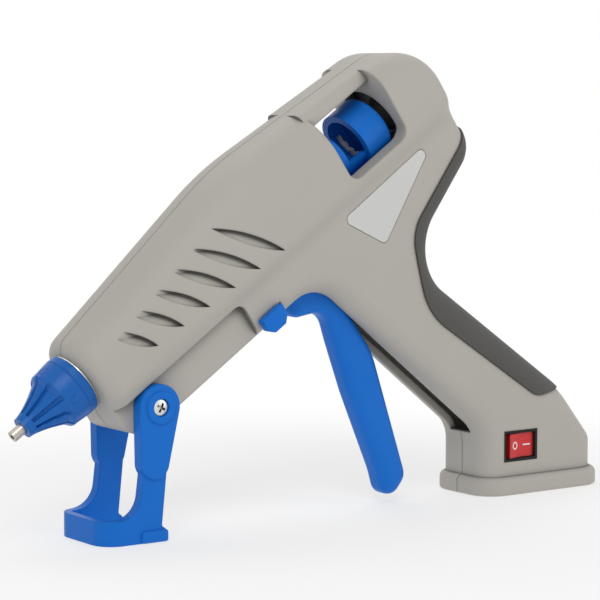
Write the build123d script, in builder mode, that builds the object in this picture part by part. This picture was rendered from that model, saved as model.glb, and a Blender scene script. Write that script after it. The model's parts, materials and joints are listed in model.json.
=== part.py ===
from build123d import *
import math
import os

# Corded hot-melt glue gun with a trigger feed and a fold-away nose stand.
# Millimetres and degrees. +Z is up, the nose points to -X, and the label side is -Y.
# u runs along the barrel axis from the nose to the back, v stands up from that axis.

# Overall layout
OVERALL_LENGTH = 252.0      # nozzle tip to the back of the base rim
BARREL_TILT = 34.6          # barrel axis above the bench
NOSE_HEIGHT = 39.0          # barrel datum above the bench
TIP_LEAD = 1.7              # nozzle tip ahead of the barrel datum
TIP_RADIUS = 2.0

# Clearances
RUN_FIT = 0.05              # radial, pin in hole
SEAT_FIT = 0.05             # radial, fixed round seats
MOVE_GAP = 0.3              # between moving faces
SEAM_GAP = 0.2              # between the two shells

# Housing walls and rounding
WALL = 2.8
BARREL_HALF = 18.5          # half width of the barrel
GRIP_HALF = 14.8            # half width of the grip and of the base
SHOULDER_TOP = -4.0         # v where the barrel side starts to draw in
SHOULDER_RUN = 12.0         # height of that S-shaped draw-in
ROOF_ROUND = 17.0
REAR_ROUND = 9.0
LOW_ROUND = 7.5
FACE_ROUND = 5.5
CHIN_ROUND = 12.0

# Housing outline, barrel part (u, v)
FACE_U = 28.5               # front face of the barrel
FACE_TOP = 14.1
BELLY_V = -28.5             # underside of the barrel
ROOF_PEAK = (112.0, 27.2)
ROOF_BEND = 110.0
HUMP_U = 206.0              # back face
HUMP_TOP = 20.6
HUMP_ROUND = 21.0
HUMP_LOW = -30.0
HUMP_LOW_ROUND = 11.5
WEB = (158.2, -47.4)        # hollow for the thumb web
WEB_ROUND = 20.0
THROAT_U = 121.8            # inner corner between belly and grip
THROAT_ROUND = 16.0

# Housing outline, base part
BASE_LENGTH = 55.5
BASE_FRONT_HEIGHT = 24.5
BASE_BACK_HEIGHT = 19.0
BASE_ROUND = 11.5
BASE_BACK_ROUND = 5.0
GRIP_BACK_RUN = 40.0        # bend of the grip back, behind the base front
GRIP_BACK_HEIGHT = 38.0
GRIP_BACK_BEND = 40.0
RIM_OUT = 2.5
RIM_HEIGHT = 7.0
RIM_CORNER = 10.5
RIM_FOOT_ROUND = 1.2

# Window and bridge above the feed
WINDOW_FRONT = 150.0
WINDOW_REAR = 180.0
WINDOW_FLOOR = -5.5
WINDOW_ROUND = 4.5
BRIDGE_UNDER = 18.0
BRIDGE_HALF = 11.0
BRIDGE_ROUND = 3.8
BRIDGE_UNDER_ROUND = 0.7
BRIDGE_ROOT = 1.5
PASSAGE_RADIUS = 13.0
FLOOR_SLOT_HALF = 11.2

# Step in the lower front for the stand arms
STEP_HALF = 12.0
STEP_V = -12.0
STEP_END = 89.5
STEP_ROUND = 4.0

# Trigger slot
SLOT_HALF = 6.0
SLOT_FRONT = 107.5
SLOT_FLOOR_HEIGHT = 23.6

# Scoops in the barrel side
SCOOP_COUNT = 6
SCOOP_FIRST = (40.3, 13.2)      # upper tip of the front scoop
SCOOP_LAST = (93.5, 16.8)       # upper tip of the rear scoop
SCOOP_RUN_FIRST = (12.5, -15.2)
SCOOP_RUN_LAST = (19.4, -24.0)
SCOOP_WIDTH = 3.6
SCOOP_TILT = 24.0
SCOOP_LIP = 0.7

# Soft back strap
STRAP_SUNK = 1.2
STRAP_PROUD = 0.8
STRAP_GAP = 0.05
STRAP_EDGE = ((218.0, -17.0), (163.0, -37.0), (152.0, -66.0), (176.0, -124.5), (198.0, -135.0))
STRAP_ROUNDS = (16.0, 25.0, 8.0)
STRAP_BEHIND = 245.0

# Bare plate
PLATE_CORNERS = ((140.4, -15.0), (192.1, -14.1), (151.1, -33.4))
PLATE_ROUND = 2.2
PLATE_THICK = 0.9
PLATE_SUNK = 0.8
PLATE_GAP = 0.15

# Case screws, at (u, v)
SCREW_RADIUS = 1.45
SCREW_HEAD_RADIUS = 2.75
SCREW_HEAD_HEIGHT = 2.0
SCREW_SEAT = 6.0            # height of the head seat above the seam
SCREW_REACH = 9.0           # thread past the seam
BOSS_RADIUS = 3.0
HEAD_TUBE_RADIUS = 4.3      # tube round each sunk head
HEAD_SEAT_THICK = 1.5
CASE_SCREW_PLACES = ((72.0, 14.2), (105.5, -18.8), (187.0, 14.5), (180.5, -30.5), (163.5, -80.0))
CASE_SCREW_BASE = ((6.8, 6.6), (42.5, 19.5))    # from the base front, and height

# Nozzle, sleeve and collar
TIP_BORE = 0.9
NOZZLE_BORE = 3.0
NOZZLE_CONE_START = 3.5
NOZZLE_HEX = 13.0           # across the flats
NOZZLE_HEX_FRONT = 17.0
NOZZLE_FLANGE_FRONT = 21.0
THREAD_RADIUS = 5.0
THREAD_LENGTH = 9.0
SLEEVE_FRONT = 3.0
SLEEVE_REAR = 26.0
SLEEVE_MOUTH = 3.9
SLEEVE_WAIST = 8.6
SLEEVE_BAND_FRONT = 16.5
SLEEVE_BAND_RADIUS = 10.9
SLEEVE_BAND_REAR_RADIUS = 10.4
SLEEVE_BAND_EDGE = 0.8
SLEEVE_WALL = 1.6
SLEEVE_SLOTS = 8
SLEEVE_SLOT_WIDTH = 1.6
SLEEVE_SLOT_DEPTH = 1.0
SLEEVE_SLOT_SET = 1.0       # behind the middle of the cone
COLLAR_RADIUS = 10.8
COLLAR_EDGE = 0.6

# Melt chamber, heater and seal
CHAMBER_FRONT = 23.0
CHAMBER_NECK_RADIUS = 8.2
CHAMBER_BODY_FRONT = 34.0
CHAMBER_RADIUS = 10.0
CHAMBER_BODY_REAR = 88.0
CHAMBER_MOUTH_RADIUS = 8.0
CHAMBER_REAR = 95.0
CHAMBER_BORE = 6.1
CHAMBER_TAPER_REAR = 60.0
RIB_PLACES = (45.0, 82.0)
RIB_THICK = 2.5
RIB_FLOOR = -5.0
PAD_FRONT = 37.0
PAD_REAR = 85.0
PAD_HALF = 8.4
PAD_DROP = 13.0
HEATER_LENGTH = 17.0
HEATER_HALF = 6.5
HEATER_THICK = 2.2
HEATER_SPACE = 2.0
CLAMP_THICK = 1.5
CLAMP_CORNER = 1.5
CLAMP_SCREW_INSET = 3.2
CLAMP_SCREW_RADIUS = 1.25
CLAMP_HEAD_RADIUS = 2.4
CLAMP_HEAD_HEIGHT = 1.6
CLAMP_SCREW_DEPTH = 4.5
SEAL_FRONT = 89.0
SEAL_REAR = 103.0
SEAL_RADIUS = 9.8
SEAL_BORE = 6.0
SEAL_LEAD_IN = 2.0
CLIP_SET = 1.0              # behind the seal's front
CLIP_WIDTH = 3.0
CLIP_THICK = 0.9

# Stick tube in the hump, set out from the window's rear edge
TUBE_BORE = 6.6
TUBE_RADIUS = 8.4
TUBE_MOUTH = 7.8            # bore at its back end
TUBE_LEAD_IN = 2.4
TUBE_FRONT_SET = 6.0
TUBE_FLANGE_SET = 11.0
TUBE_FLANGE_THICK = 2.5
TUBE_FLANGE_HALF = 11.0     # half height of the flange
INLET_HOLE = 8.0            # hole in the back wall of the hump

# Feed carriage and gripper
STICK_BORE = 6.2
TROUGH_INNER = 6.9
TROUGH_OUTER = 9.9
CHEEK_FRONT = 114.0
CHEEK_INNER = 7.0
CHEEK_OUTER = 8.6
CHEEK_HALF_HEIGHT = 4.0
RING_FRONT = 151.0
RING_REAR = 157.5
CUP_FRONT = 166.0
CUP_REAR = 178.0
CUP_FLOOR = 173.0
CUP_RADIUS = 11.8
CUP_INNER = 9.2
CUP_EDGE = 1.5
TROUGH_TOP = -3.0
FIN_HALF = 12.6
FIN_THICK = 2.3
GUIDE_RIB_THICK = 2.0
GUIDE_RIB_INNER = 11.3
FEED_TRAVEL = 8.5
TRUNNION_RADIUS = 2.0
LUG_SET = 1.0               # behind the cup's floor
LUG_V = -15.5
LUG_HALF = 1.6
LUG_RADIUS = 2.4
GRIPPER_SET = 3.2           # behind the cup's front
GRIPPER_THICK = 1.5
GRIPPER_OUTER = 8.7
GRIPPER_INNER = 6.6
GRIPPER_TEETH = 7
GRIPPER_TOOTH = 1.0
GRIPPER_TOOTH_SIDE = 1.9
GRIPPER_TOOTH_SHIFT = 0.2
GRIPPER_PIN_V = -10.4
GRIPPER_PIN_RADIUS = 1.0
GRIPPER_PIN_HALF = 4.6
GRIPPER_TAB_HALF = 2.4
GRIPPER_POCKET_RISE = 1.5   # its pocket above the cup's inner wall

# Trigger
PIVOT_U = 115.0
PIVOT_V = -20.5
PIVOT_RADIUS = 2.0
PIVOT_END = 1.2             # housing left outside the pin
HUB_RADIUS = 4.6
HUB_END_RADIUS = 3.6
HUB_HALF = 10.6
TRIGGER_HALF = 5.5
TRIGGER_ROUND = 4.0
PRONG_HALF_WIDTH = 4.6
PRONG_INNER = 8.9
PRONG_TOP = 3.2
TRIGGER_OUTLINE = ((-4.6, 0.0), (-5.5, -16.1), (7.2, -22.1), (3.6, -34.0), (-1.6, -54.0), (-8.0, -86.0),
                   (-12.6, -99.6), (1.6, -95.6), (15.6, -47.5), (15.4, -21.5), (4.6, 0.0))
TRIGGER_ROUNDS = (0.0, 4.4, 7.0, 20.0, 60.0, 30.0, 4.6, 6.0, 30.0, 12.0, 0.0)

# Springs
RETURN_COIL_RADIUS = 2.4
RETURN_WIRE_RADIUS = 0.45
RETURN_TURNS = 6
RETURN_PEG_SET = 8.0        # ahead of the back face
RETURN_PEG_RADIUS = 1.5
LATCH_COIL_RADIUS = 1.3
LATCH_WIRE_RADIUS = 0.22
LATCH_TURNS = 3

# Nose stand
STAND_PIVOT = (42.0, -20.4)
ARM_THICK = 5.0
ARM_EDGE = 0.8
LEG_THICK = 4.0
HEAD_RADIUS = 7.9
HEAD_RING_RADIUS = 5.6
HEAD_RING_HEIGHT = 0.6
STAND_AXLE_RADIUS = 3.6
STAND_AXLE_LENGTH = 3.0
STAND_HEAD_SINK = 1.9
STAND_SCREW_RADIUS = 1.4
STAND_SCREW_LENGTH = 7.0
TONGUE_DROP = 19.0
TONGUE_LEAN = -2.0
TONGUE_RADIUS = 5.6
LEG_FRONT_TOP = -6.2
LEG_BACK_TOP = 2.9
LEG_LEAN = -2.1
LEG_KNEE = 21.0
FOOT_FRONT = -22.2
FOOT_HEIGHT = 8.4
FOOT_BAR = 3.2
FOOT_BEND = 9.0
FOOT_PAD_BACK = 2.4
FOOT_PAD_HEIGHT = 4.3
FOOT_PAD_ROUND = 1.0
FOOT_CORNER = 8.0
FOOT_INNER_CORNER = 2.5

# Stand latch
LATCH_FRONT = 91.0
LATCH_LENGTH = 10.5
LATCH_LOW = -28.6
LATCH_TOP = -21.6
LATCH_THICK = 3.0
LATCH_CORNER = 2.6
LATCH_EDGE = 0.8
LATCH_BAR_TOP = -22.4
LATCH_BAR_LOW = -25.2
LATCH_BAR_INSET = 2.2
LATCH_TRAVEL = 3.0
LATCH_STOP = 105.6
LATCH_STOP_THICK = 1.4
LATCH_STOP_HALF = 4.0

# Rocker switch, from the base front
SWITCH_CENTRE = 16.5
SWITCH_HEIGHT = 18.3
SWITCH_WIDTH = 16.3
SWITCH_TALL = 11.7
SWITCH_RIM = 1.0
SWITCH_DEPTH = 13.0
SWITCH_POCKET = 8.0
SWITCH_FLANGE = 1.0
SWITCH_FLANGE_THICK = 1.2
ROCKER_HALF = 6.4
ROCKER_PIVOT_DEPTH = 5.3
ROCKER_RISE = 4.2
ROCKER_DISH = 0.85
ROCKER_SIDE_FOOT = 1.0
ROCKER_KEEL = 1.5
ROCKER_TILT = 7.0
ROCKER_PIN_RADIUS = 1.0
ROCKER_PIN_REACH = 0.6
TERMINAL_WIDTH = 4.8
TERMINAL_THICK = 0.8
TERMINAL_REACH = 7.0
TERMINAL_PITCH = 5.2

# Cord gland and inner leads
GLAND_HEIGHT = 11.9
GLAND_BORE = 3.1
GLAND_NECK = 3.9            # half the width across the flats of its neck
GLAND_SIDES = 8
GLAND_FLANGE = 4.4
GLAND_OUT = 1.7
GLAND_TAPER = 0.5
GLAND_IN = 2.4
LEAD_RADIUS = 1.0
LEAD_START_GAP = 1.0        # behind the rear clamp screw's head
LEAD_V = -14.3
LEAD_SIDE = 3.0
LEAD_TURN = (147.0, -14.3)
LEAD_NECK = (155.5, -48.0)
LEAD_GRIP = (157.0, -92.0)
LEAD_BENDS = (14.0, 14.0, 10.0, 8.0)
LEAD_DROP_HEIGHT = 36.0
SPLICE_RADIUS = 2.2
SPLICE_LENGTH = 10.0
SPLICE_SINK = 4.0
SPLICE_RUN = 31.0
SPLICE_HEIGHT = 22.0

# Worked out from the above
COS = math.cos(math.radians(BARREL_TILT))
SIN = math.sin(math.radians(BARREL_TILT))
NOSE_X = -OVERALL_LENGTH / 2 + TIP_LEAD * COS + TIP_RADIUS * SIN
BASE_BACK_X = OVERALL_LENGTH / 2 - RIM_OUT
BASE_FRONT_X = BASE_BACK_X - BASE_LENGTH
GRIP_INNER = GRIP_HALF - WALL
BARREL_INNER = BARREL_HALF - WALL
SHOULDER_TURN = 2 * math.degrees(math.atan((BARREL_HALF - GRIP_HALF) / SHOULDER_RUN))
SHOULDER_BEND = SHOULDER_RUN / (2 * math.sin(math.radians(SHOULDER_TURN)))
FAR = 40.0                  # past any side of the housing
BARREL = Plane(origin=(NOSE_X, 0, NOSE_HEIGHT), x_dir=(COS, 0, SIN), z_dir=(0, -1, 0))
BARREL_AXIS = Axis((NOSE_X, 0, NOSE_HEIGHT), (COS, 0, SIN))
SWITCH_X = BASE_FRONT_X + SWITCH_CENTRE
TRUNNION_U = PIVOT_U + FEED_TRAVEL / 2
GRIPPER_U = CUP_FRONT + GRIPPER_SET
LUG_U = CUP_FLOOR + LUG_SET
RETURN_PEG_U = HUMP_U - RETURN_PEG_SET
TUBE_FLANGE_FRONT = WINDOW_REAR + TUBE_FLANGE_SET
ROOT = 1.6                  # ribs and bosses reach this far into the wall


def on_barrel(u, v):
    """Bench coordinates (x, z) of a barrel point."""
    return (NOSE_X + u * COS - v * SIN, NOSE_HEIGHT + u * SIN + v * COS)


def along(point):
    """Place of a point along the barrel axis."""
    return (point.X - NOSE_X) * COS + (point.Z - NOSE_HEIGHT) * SIN


def above(point):
    """Height of a point square to the barrel axis."""
    return (point.Z - NOSE_HEIGHT) * COS - (point.X - NOSE_X) * SIN


def across(u):
    """Plane square to the barrel axis: x is +Y, y is v, and it faces back."""
    x, z = on_barrel(u, 0)
    return Plane(origin=(x, 0, z), x_dir=(0, 1, 0), z_dir=(COS, 0, SIN))


def roof_at(u):
    """Height of the roof line behind its peak."""
    share = (u - ROOF_PEAK[0]) / (HUMP_U - ROOF_PEAK[0])
    return ROOF_PEAK[1] + share * (HUMP_TOP - ROOF_PEAK[1])


def barrel_box(u_low, u_high, v_low, v_high, half_low, half_high):
    """Block along the barrel on the near side, between two distances from the seam."""
    with BuildPart() as block:
        with BuildSketch(BARREL.offset(half_low)):
            with Locations(((u_low + u_high) / 2, (v_low + v_high) / 2)):
                Rectangle(u_high - u_low, v_high - v_low)
        extrude(amount=half_high - half_low)
    return block.part


def stand_step(inset):
    """Cutter for the step in the lower front, with its inner corner rounded."""
    with BuildPart() as step:
        add(barrel_box(0, STEP_END + inset, 2 * BELLY_V, STEP_V + inset, STEP_HALF - inset, FAR))
        corner = step.edges().filter_by(Axis.Y).sort_by(lambda e: along(e.center()) + above(e.center()))
        fillet(corner[-1], STEP_ROUND + inset)
    return step.part


def window_cut(inset):
    """Cutter for the window, with its lower corners rounded."""
    with BuildPart() as window:
        add(barrel_box(WINDOW_FRONT - inset, WINDOW_REAR + inset, WINDOW_FLOOR - inset, HUMP_U, -FAR, FAR))
        corners = window.edges().filter_by(Axis.Y).sort_by(lambda e: above(e.center()))
        fillet(corners[:2], WINDOW_ROUND + inset)
    return window.part


def housing_half(inset):
    """Near half of the housing's outer form, drawn in by inset on every side."""
    outline = (
        (BASE_FRONT_X, 0),
        (BASE_FRONT_X, BASE_FRONT_HEIGHT),
        on_barrel(THROAT_U, BELLY_V),
        on_barrel(FACE_U, BELLY_V),
        on_barrel(FACE_U, FACE_TOP),
        on_barrel(*ROOF_PEAK),
        on_barrel(HUMP_U, HUMP_TOP),
        on_barrel(HUMP_U, HUMP_LOW),
        on_barrel(*WEB),
        (BASE_FRONT_X + GRIP_BACK_RUN, GRIP_BACK_HEIGHT),
        (BASE_BACK_X, BASE_BACK_HEIGHT),
        (BASE_BACK_X, 0),
    )
    rounds = (0, BASE_ROUND, THROAT_ROUND, 0, 0, ROOF_BEND, HUMP_ROUND, HUMP_LOW_ROUND,
              WEB_ROUND, GRIP_BACK_BEND, BASE_BACK_ROUND, 0)
    with BuildPart() as half:
        with BuildSketch(Plane.XZ):
            with BuildLine():
                FilletPolyline(*outline, radius=rounds, close=True)
            make_face()
            if inset:
                offset(amount=-inset, kind=Kind.INTERSECTION)
        extrude(amount=FAR)
        # The barrel is full at its shoulder and draws in to the width of the grip.
        with BuildSketch(Plane(BARREL.origin, x_dir=(0, -1, 0), z_dir=(-COS, 0, -SIN))):
            with BuildLine():
                side = Line((BARREL_HALF, HUMP_U), (BARREL_HALF, SHOULDER_TOP))
                upper = JernArc(side @ 1, side % 1, SHOULDER_BEND, -SHOULDER_TURN)
                lower = JernArc(upper @ 1, upper % 1, SHOULDER_BEND, SHOULDER_TURN)
                grip = Line(lower @ 1, (GRIP_HALF, -HUMP_U))
                Polyline(grip @ 1, (-FAR, -HUMP_U), (-FAR, HUMP_U), side @ 0)
            make_face()
            if inset:
                offset(amount=-inset, kind=Kind.INTERSECTION)
        extrude(amount=2 * HUMP_U, both=True, mode=Mode.INTERSECT)
        add(window_cut(inset), mode=Mode.SUBTRACT)
        roof = half.edges().filter_by(
            lambda e: FACE_U + 5 < along(e.center()) < WINDOW_FRONT - inset - 1
            and above(e.center()) > 0 and e.center().Y < inset - BARREL_HALF + 0.5)
        fillet(roof, ROOF_ROUND - inset)
        hump = half.edges().filter_by(
            lambda e: along(e.center()) > WINDOW_REAR + inset + 1
            and above(e.center()) > 0 and e.center().Y < inset - BARREL_HALF + 0.5
            and abs(e.tangent_at(0.5).Y) < 0.2)
        fillet(hump, REAR_ROUND - inset)
        belly = half.edges().filter_by(
            lambda e: FACE_U + 5 < along(e.center()) < THROAT_U
            and abs(above(e.center()) - BELLY_V - inset) < 0.5 and e.center().Y < -5)
        fillet(belly, LOW_ROUND - inset)
        face = half.faces().filter_by(lambda f: abs(along(f.center()) - FACE_U - inset) < 0.01)
        rim = face.edges().filter_by(lambda e: e.center().Y < -0.01)
        fillet(rim, FACE_ROUND - min(inset, WALL) / 2)
        # The lower front steps in for the stand arms, and the chin is rounded.
        add(stand_step(inset), mode=Mode.SUBTRACT)
        radius = CHIN_ROUND - inset
        with BuildSketch(BARREL):
            with BuildLine():
                start = (FACE_U + inset, BELLY_V + CHIN_ROUND)
                chin = JernArc(start, (0, -1), radius, 90)
                Polyline(chin @ 1, (FACE_U + CHIN_ROUND, 2 * BELLY_V), (0, 2 * BELLY_V),
                         (0, start[1]), start)
            make_face()
        extrude(amount=FAR, mode=Mode.SUBTRACT)
    return half.part


def base_rim():
    """Near half of the bulging band round the foot of the base."""
    with BuildPart() as rim:
        with BuildSketch():
            with Locations(((BASE_FRONT_X + BASE_BACK_X) / 2, 0)):
                RectangleRounded(BASE_LENGTH + 2 * RIM_OUT, 2 * (GRIP_HALF + RIM_OUT), RIM_CORNER)
        extrude(amount=RIM_HEIGHT)
        fillet(rim.edges().group_by(Axis.Z)[-1], RIM_OUT)
        fillet(rim.edges().group_by(Axis.Z)[0], RIM_FOOT_ROUND)
        split(bisect_by=Plane.XZ)
    return rim.part


def bridge_bar():
    """Near half of the bar that bridges the window."""
    front = WINDOW_FRONT - BRIDGE_ROOT
    back = WINDOW_REAR + BRIDGE_ROOT
    with BuildPart() as bar:
        with BuildSketch(BARREL):
            with BuildLine():
                Polyline((front, BRIDGE_UNDER), (back, BRIDGE_UNDER), (back, roof_at(back)),
                         (front, roof_at(front)), close=True)
            make_face()
        extrude(amount=BRIDGE_HALF)
        long_edges = bar.faces().sort_by(Axis.Y)[0].edges().sort_by(lambda e: above(e.center()))
        fillet(long_edges[-1], BRIDGE_ROUND)
        fillet(long_edges[0], BRIDGE_UNDER_ROUND)
    return bar.part


def strap_region(gap):
    """Everything behind the edge of the back strap on the near side, drawn in by a gap."""
    with BuildPart() as region:
        with BuildSketch(BARREL):
            with BuildLine():
                edge = FilletPolyline(*STRAP_EDGE, radius=STRAP_ROUNDS)
                Polyline(edge @ 1, (STRAP_BEHIND, STRAP_EDGE[-1][1]),
                         (STRAP_BEHIND, STRAP_EDGE[0][1]), edge @ 0)
            make_face()
            if gap:
                offset(amount=-gap, kind=Kind.INTERSECTION)
        extrude(amount=FAR)
    return region.part


def side_half(u, v):
    """Half width of the barrel at a place on its side, ahead of the roof peak."""
    roof = FACE_TOP + (u - FACE_U) * (ROOF_PEAK[1] - FACE_TOP) / (ROOF_PEAK[0] - FACE_U)
    rise = max(0, v - roof + ROOF_ROUND)
    fall = max(0, SHOULDER_TOP - v)
    roof_loss = ROOF_ROUND - math.sqrt(ROOF_ROUND ** 2 - rise ** 2)
    return BARREL_HALF - roof_loss - SHOULDER_BEND + math.sqrt(SHOULDER_BEND ** 2 - fall ** 2)


def scoop(index, outer):
    """Leaf-shaped cutter: its floor is the outer form tipped in about the leaf's lower edge."""
    share = index / (SCOOP_COUNT - 1)
    tip = [a + share * (b - a) for a, b in zip(SCOOP_FIRST, SCOOP_LAST)]
    run = [a + share * (b - a) for a, b in zip(SCOOP_RUN_FIRST, SCOOP_RUN_LAST)]
    end = [a + b for a, b in zip(tip, run)]
    half = math.hypot(*run) / 2
    flat = Plane(origin=BARREL.from_local_coords(Vector(*tip, BARREL_HALF - WALL)),
                 x_dir=BARREL.x_dir * run[0] + BARREL.y_dir * run[1], z_dir=BARREL.z_dir)
    below = (SCOOP_WIDTH / 2 + SCOOP_LIP) / (2 * half)
    low = [tip[0] + run[0] / 2 + run[1] * below, tip[1] + run[1] / 2 - run[0] * below]
    top = BARREL.from_local_coords(Vector(*tip, side_half(*tip)))
    foot = BARREL.from_local_coords(Vector(*end, side_half(*end)))
    hinge = Axis(BARREL.from_local_coords(Vector(*low, side_half(*low))), foot - top)
    with BuildPart() as leaf:
        with BuildSketch(flat):
            with BuildLine():
                SagittaArc((0, 0), (2 * half, 0), SCOOP_WIDTH / 2)
                SagittaArc((0, 0), (2 * half, 0), -SCOOP_WIDTH / 2)
            make_face()
        extrude(amount=FAR / 4)
        add(outer.rotate(hinge, -SCOOP_TILT), mode=Mode.SUBTRACT)
    return leaf.part


def case_screw_places():
    """Case screw centres on the seam, in (x, z)."""
    upper = [on_barrel(u, v) for u, v in CASE_SCREW_PLACES]
    lower = [(BASE_FRONT_X + run, height) for run, height in CASE_SCREW_BASE]
    return upper + lower


def inner_ribs(envelope):
    """Bosses, ribs and guides inside the near shell, cut to the form of its wall."""
    with BuildPart() as ribs:
        with BuildSketch(Plane.XZ):
            with Locations(*case_screw_places()):
                Circle(BOSS_RADIUS)
            with Locations(on_barrel(RETURN_PEG_U, LUG_V)):
                Circle(RETURN_PEG_RADIUS)
        extrude(amount=FAR)
        # Saddles of the melt chamber
        for place in RIB_PLACES:
            with BuildSketch(across(place - RIB_THICK / 2)):
                with Locations((-FAR / 2, RIB_FLOOR + FAR / 2)):
                    Rectangle(FAR, FAR)
                Circle(CHAMBER_RADIUS + SEAT_FIT, mode=Mode.SUBTRACT)
            extrude(amount=RIB_THICK)
        # Lower guide of the feed carriage
        fin_floor = WINDOW_FLOOR - WALL - 2 * MOVE_GAP - FIN_THICK
        add(barrel_box(RING_FRONT - 2 * RIB_THICK, WINDOW_REAR, fin_floor - GUIDE_RIB_THICK, fin_floor,
                       GUIDE_RIB_INNER, FAR))
        # Two ribs that hold the flange of the stick tube between them
        tube_seat = 2 * (TUBE_RADIUS + SEAT_FIT)
        for place in (TUBE_FLANGE_FRONT - SEAT_FIT - RIB_THICK,
                      TUBE_FLANGE_FRONT + SEAT_FIT + TUBE_FLANGE_THICK):
            with BuildSketch(across(place)):
                with Locations((-FAR / 2, 0)):
                    Rectangle(FAR, 2 * TUBE_FLANGE_HALF)
                Rectangle(tube_seat, tube_seat, mode=Mode.SUBTRACT)
            extrude(amount=RIB_THICK)
        # Stop of the latch spring
        add(barrel_box(LATCH_STOP, LATCH_STOP + LATCH_STOP_THICK, BELLY_V, LATCH_BAR_TOP, 0,
                       LATCH_STOP_HALF))
        # Thrust faces beside the trigger hub
        with BuildSketch(Plane.XZ.offset(HUB_HALF + MOVE_GAP)):
            with Locations(on_barrel(PIVOT_U, PIVOT_V)):
                Circle(HUB_END_RADIUS)
        extrude(amount=FAR)
        add(envelope, mode=Mode.INTERSECT)
    return ribs.part


def head_tubes(envelope):
    """Tubes that carry the sunk heads of the case screws, cut to the form of the wall."""
    with BuildPart() as tubes:
        with BuildSketch(Plane.XZ.offset(SCREW_SEAT - HEAD_SEAT_THICK)):
            with Locations(*case_screw_places()):
                Circle(HEAD_TUBE_RADIUS)
        extrude(amount=FAR)
        add(envelope, mode=Mode.INTERSECT)
    return tubes.part


def shell_blank():
    """Near shell with everything that both shells share."""
    outer = housing_half(0)
    with BuildPart() as sunk:
        add(strap_region(0))
        add(housing_half(STRAP_SUNK), mode=Mode.SUBTRACT)
    with BuildPart() as shell:
        add(outer)
        add(base_rim())
        add(bridge_bar())
        add(sunk.part, mode=Mode.SUBTRACT)
        add(housing_half(WALL), mode=Mode.SUBTRACT)
        # Trigger slot, open from the belly down the grip front
        with BuildSketch(Plane.XZ):
            with BuildLine():
                Polyline(on_barrel(SLOT_FRONT, BELLY_V + 2 * WALL),
                         on_barrel(WINDOW_FRONT, BELLY_V + 2 * WALL),
                         (BASE_FRONT_X + 2 * WALL, SLOT_FLOOR_HEIGHT),
                         (BASE_FRONT_X - FAR, SLOT_FLOOR_HEIGHT),
                         on_barrel(SLOT_FRONT, 3 * BELLY_V), close=True)
            make_face()
        extrude(amount=SLOT_HALF, mode=Mode.SUBTRACT)
        # Passages for the carriage through the window's walls
        with BuildSketch(across(WINDOW_FRONT - 2 * WALL)):
            Circle(PASSAGE_RADIUS)
        extrude(amount=WINDOW_REAR - WINDOW_FRONT + 4 * WALL, mode=Mode.SUBTRACT)
        add(barrel_box(WINDOW_FRONT - 2 * WALL, WINDOW_REAR + 2 * WALL, WINDOW_FLOOR - 2 * WALL, 0,
                       0, FLOOR_SLOT_HALF), mode=Mode.SUBTRACT)
        add(inner_ribs(housing_half(ROOT)))
        # Stick inlet in the back wall
        with BuildSketch(across(HUMP_U - 2 * WALL)):
            Circle(INLET_HOLE)
        extrude(amount=3 * WALL, mode=Mode.SUBTRACT)
        # Front hole round the chamber neck
        with BuildSketch(across(FACE_U - 1)):
            Circle(CHAMBER_NECK_RADIUS + MOVE_GAP)
        extrude(amount=WALL + 2, mode=Mode.SUBTRACT)
        # Trigger pin pocket
        with BuildSketch(Plane.XZ):
            with Locations(on_barrel(PIVOT_U, PIVOT_V)):
                Circle(PIVOT_RADIUS + SEAT_FIT)
        extrude(amount=GRIP_HALF - PIVOT_END, mode=Mode.SUBTRACT)
        # Stand axle and the pilot hole of its screw
        with BuildSketch(Plane.XZ.offset(STEP_HALF - ROOT)):
            with Locations(on_barrel(*STAND_PIVOT)):
                Circle(STAND_AXLE_RADIUS)
        extrude(amount=ROOT + STAND_AXLE_LENGTH)
        with BuildSketch(Plane.XZ):
            with Locations(on_barrel(*STAND_PIVOT)):
                Circle(STAND_SCREW_RADIUS + SEAT_FIT)
        extrude(amount=FAR, mode=Mode.SUBTRACT)
        # Slot of the stand latch
        add(barrel_box(LATCH_FRONT + LATCH_BAR_INSET - MOVE_GAP,
                       LATCH_FRONT + LATCH_LENGTH - LATCH_BAR_INSET + LATCH_TRAVEL + MOVE_GAP,
                       LATCH_BAR_LOW - MOVE_GAP, LATCH_BAR_TOP + MOVE_GAP, LATCH_STOP_HALF, FAR),
            mode=Mode.SUBTRACT)
        # Half of the eight-sided hole that keeps the cord gland from turning
        with BuildSketch(Plane.YZ.offset(BASE_BACK_X - 2 * WALL)):
            with Locations((0, GLAND_HEIGHT)):
                RegularPolygon(GLAND_NECK + SEAT_FIT, GLAND_SIDES, major_radius=False)
        extrude(amount=FAR, mode=Mode.SUBTRACT)
        for index in range(SCOOP_COUNT):
            add(scoop(index, outer), mode=Mode.SUBTRACT)
        # Half of the seam gap
        with BuildSketch(Plane.XZ):
            Rectangle(2 * OVERALL_LENGTH, 2 * OVERALL_LENGTH)
        extrude(amount=SEAM_GAP / 2, mode=Mode.SUBTRACT)
    return shell.part


def plate_outline(gap):
    """Rounded three-cornered face of the bare plate, with a gap all round."""
    with BuildSketch() as face:
        with BuildLine():
            FilletPolyline(*PLATE_CORNERS, radius=PLATE_ROUND, close=True)
        make_face()
        if gap:
            offset(amount=gap)
    return face.sketch


def coil(start, pitch, turns, coil_radius, wire_radius):
    """Spring of square wire along the barrel from start."""
    with BuildPart() as wire:
        with BuildLine() as path:
            Helix(pitch, pitch * turns, coil_radius, center=start, direction=(COS, 0, SIN))
        first = path.line @ 0
        with BuildSketch(Plane(origin=first, x_dir=first - Vector(*start), z_dir=path.line % 0)):
            Rectangle(2 * wire_radius, 2 * wire_radius)
        sweep(path=path.line, is_frenet=True)
    return wire.part


blank = shell_blank()

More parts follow.
